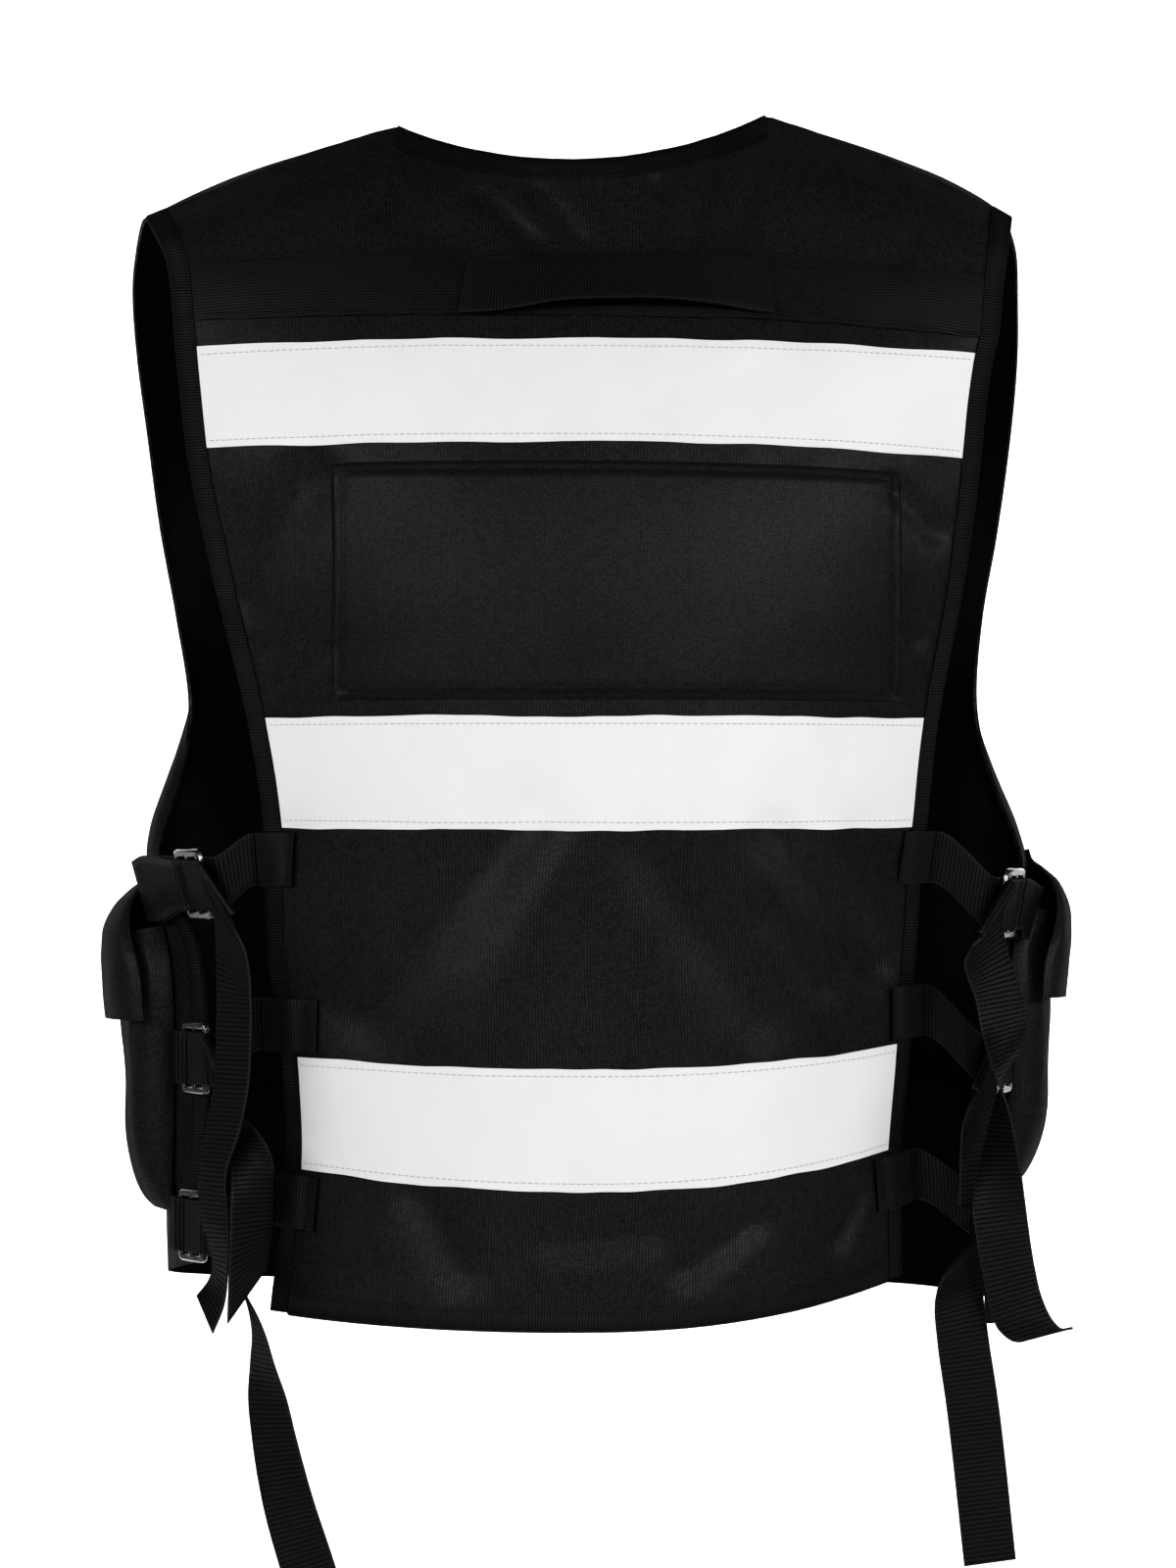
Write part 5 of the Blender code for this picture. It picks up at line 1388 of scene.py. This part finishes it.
def sew_black():
    rows = []
    low, high = PATCH_DOWN
    top = PATCH_STAND + PATCH_CLOTH - PATCH_SEAM
    for down in (low + PATCH_INSET, high - PATCH_INSET):
        ends = back_across(PATCH_LEFT + 4, down), back_across(PATCH_RIGHT - 4, down)
        rows.append(stitch_row(*on_back_line(np.linspace(*ends, 200), down, top)))
    downs = np.linspace(low + PATCH_INSET, high - PATCH_INSET, 80)
    for x in (PATCH_LEFT + PATCH_INSET, PATCH_RIGHT - PATCH_INSET):
        shares = np.array([back_across(x, down) for down in downs])
        rows.append(stitch_row(*on_back_line(shares, downs, top)))
    neck = np.linspace(-NECK_POINT + 0.01, NECK_POINT - 0.01, 150)
    rows.append(stitch_row(*on_back_line(neck, NECK_LINE - BINDING_INSET, GAP + TAPE)))
    hem = np.linspace(-0.93, 0.93, 200)
    rows.append(stitch_row(*on_back_line(hem, HEM_LINE + BINDING_INSET, GAP + TAPE)))
    shares = np.linspace(-SEWN_TO, SEWN_TO, 260)
    for down in (SHOULDER_WEBBING[0] + WEBBING_INSET, SHOULDER_WEBBING[1] - WEBBING_INSET):
        rows.append(stitch_row(*on_back_line(shares, down, GAP + WEBBING)))
    for box in CROSSED_BOXES:
        rows += crossed_box(box)
    for fitting in FITTINGS:
        rows.append(tab_stitches(fitting))
    make_stitches("black_stitches", rows, MATERIALS["black_thread"])


# Light, floor and camera

CAMERA_PLACE = (-0.1926, -2.2016, -0.293)
CAMERA_TURN = -5.0
CAMERA_LENS = 106.3
CAMERA_SENSOR = 36.0
# The room: a pale sheet that is the floor in front and curves up to a wall behind the vest
FLOOR_LEVEL = -1.35
WALL_AWAY = 1.9
WALL_TOP = 2.2
WALL_CURVE = 0.7
ROOM_HALF = 3.2
ROOM_FRONT = -3.6

# Soft lights: place, what they look at, their width and height, and their power
SoftLight = namedtuple("SoftLight", "name place target wide high power")
LIGHTS = [
    SoftLight("front_light", (0.0, -2.9, 0.35), (0.0, 0.0, -0.3), 1.9, 0.25, 17.0),
    SoftLight("left_light", (-1.75, -2.3, 0.35), (0.0, 0.0, -0.3), 1.9, 0.25, 38.0),
    SoftLight("right_light", (1.75, -2.3, 0.35), (0.0, 0.0, -0.3), 1.9, 0.25, 44.0),
    SoftLight("far_left_light", (-2.75, -0.9, 0.35), (0.0, 0.0, -0.3), 1.9, 0.25, 27.0),
    SoftLight("far_right_light", (2.75, -0.9, 0.35), (0.0, 0.0, -0.3), 1.9, 0.25, 27.0),
    SoftLight("wall_light_left", (-1.5, 0.6, -0.2), (-1.4, 1.9, -0.3), 0.6, 2.2, 70.0),
    SoftLight("wall_light_right", (1.5, 0.6, -0.2), (1.4, 1.9, -0.3), 0.6, 2.2, 70.0),
]
WORLD_LIGHT = 0.015


def make_camera():
    data = bpy.data.cameras.new("camera")
    data.sensor_width = CAMERA_SENSOR
    data.lens = CAMERA_LENS
    camera = bpy.data.objects.new("camera", data)
    camera.location = CAMERA_PLACE
    camera.rotation_euler = (math.radians(90), 0, math.radians(CAMERA_TURN))
    bpy.context.scene.collection.objects.link(camera)
    bpy.context.scene.camera = camera


def make_light(soft):
    """A soft light with a broad rectangular face."""
    data = bpy.data.lights.new(soft.name, "AREA")
    data.shape = "RECTANGLE"
    data.size = soft.wide
    data.size_y = soft.high
    data.energy = soft.power
    light = bpy.data.objects.new(soft.name, data)
    light.location = soft.place
    direction = Vector(soft.target) - Vector(soft.place)
    light.rotation_euler = direction.to_track_quat("-Z", "Y").to_euler()
    bpy.context.scene.collection.objects.link(light)


def make_room():
    world = bpy.data.worlds.new("pale_room")
    world.use_nodes = True
    background = world.node_tree.nodes["Background"]
    background.inputs["Color"].default_value = (1, 1, 1, 1)
    background.inputs["Strength"].default_value = WORLD_LIGHT
    bpy.context.scene.world = world
    turn = np.linspace(0, math.pi / 2, 12)
    bend = []
    for t in turn:
        away = WALL_AWAY - WALL_CURVE * (1 - math.sin(t))
        bend.append((away, FLOOR_LEVEL + WALL_CURVE * (1 - math.cos(t))))
    profile = [(ROOM_FRONT, FLOOR_LEVEL), *bend, (WALL_AWAY, WALL_TOP)]
    points = [(x, y, z) for y, z in profile for x in (-ROOM_HALF, ROOM_HALF)]
    faces = [(2 * i, 2 * i + 1, 2 * i + 3, 2 * i + 2) for i in range(len(profile) - 1)]
    mesh = bpy.data.meshes.new("floor_and_wall")
    mesh.from_pydata(points, [], faces)
    mesh.shade_smooth()
    mesh.materials.append(plain_material("pale_floor", (0.9, 0.9, 0.9)))
    room = bpy.data.objects.new("floor_and_wall", mesh)
    bpy.context.scene.collection.objects.link(room)
    for soft in LIGHTS:
        make_light(soft)
    bpy.context.scene.view_settings.view_transform = "Standard"


def main():
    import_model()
    make_camera()
    make_room()
    make_materials()
    make_back()
    make_back_bindings()
    make_strips()
    make_patch()
    make_handle()
    make_zip()
    for side in ("left", "right"):
        make_front(side)
        make_front_binding(side)
        make_front_strip(side)
        make_pocket(side)
        make_flap(side)
    for fitting in FITTINGS:
        make_adjuster(fitting)
        make_buckle_loop(fitting)
        make_tab(fitting)
        make_side_strap(fitting)
    sew_strips()
    sew_black()


main()
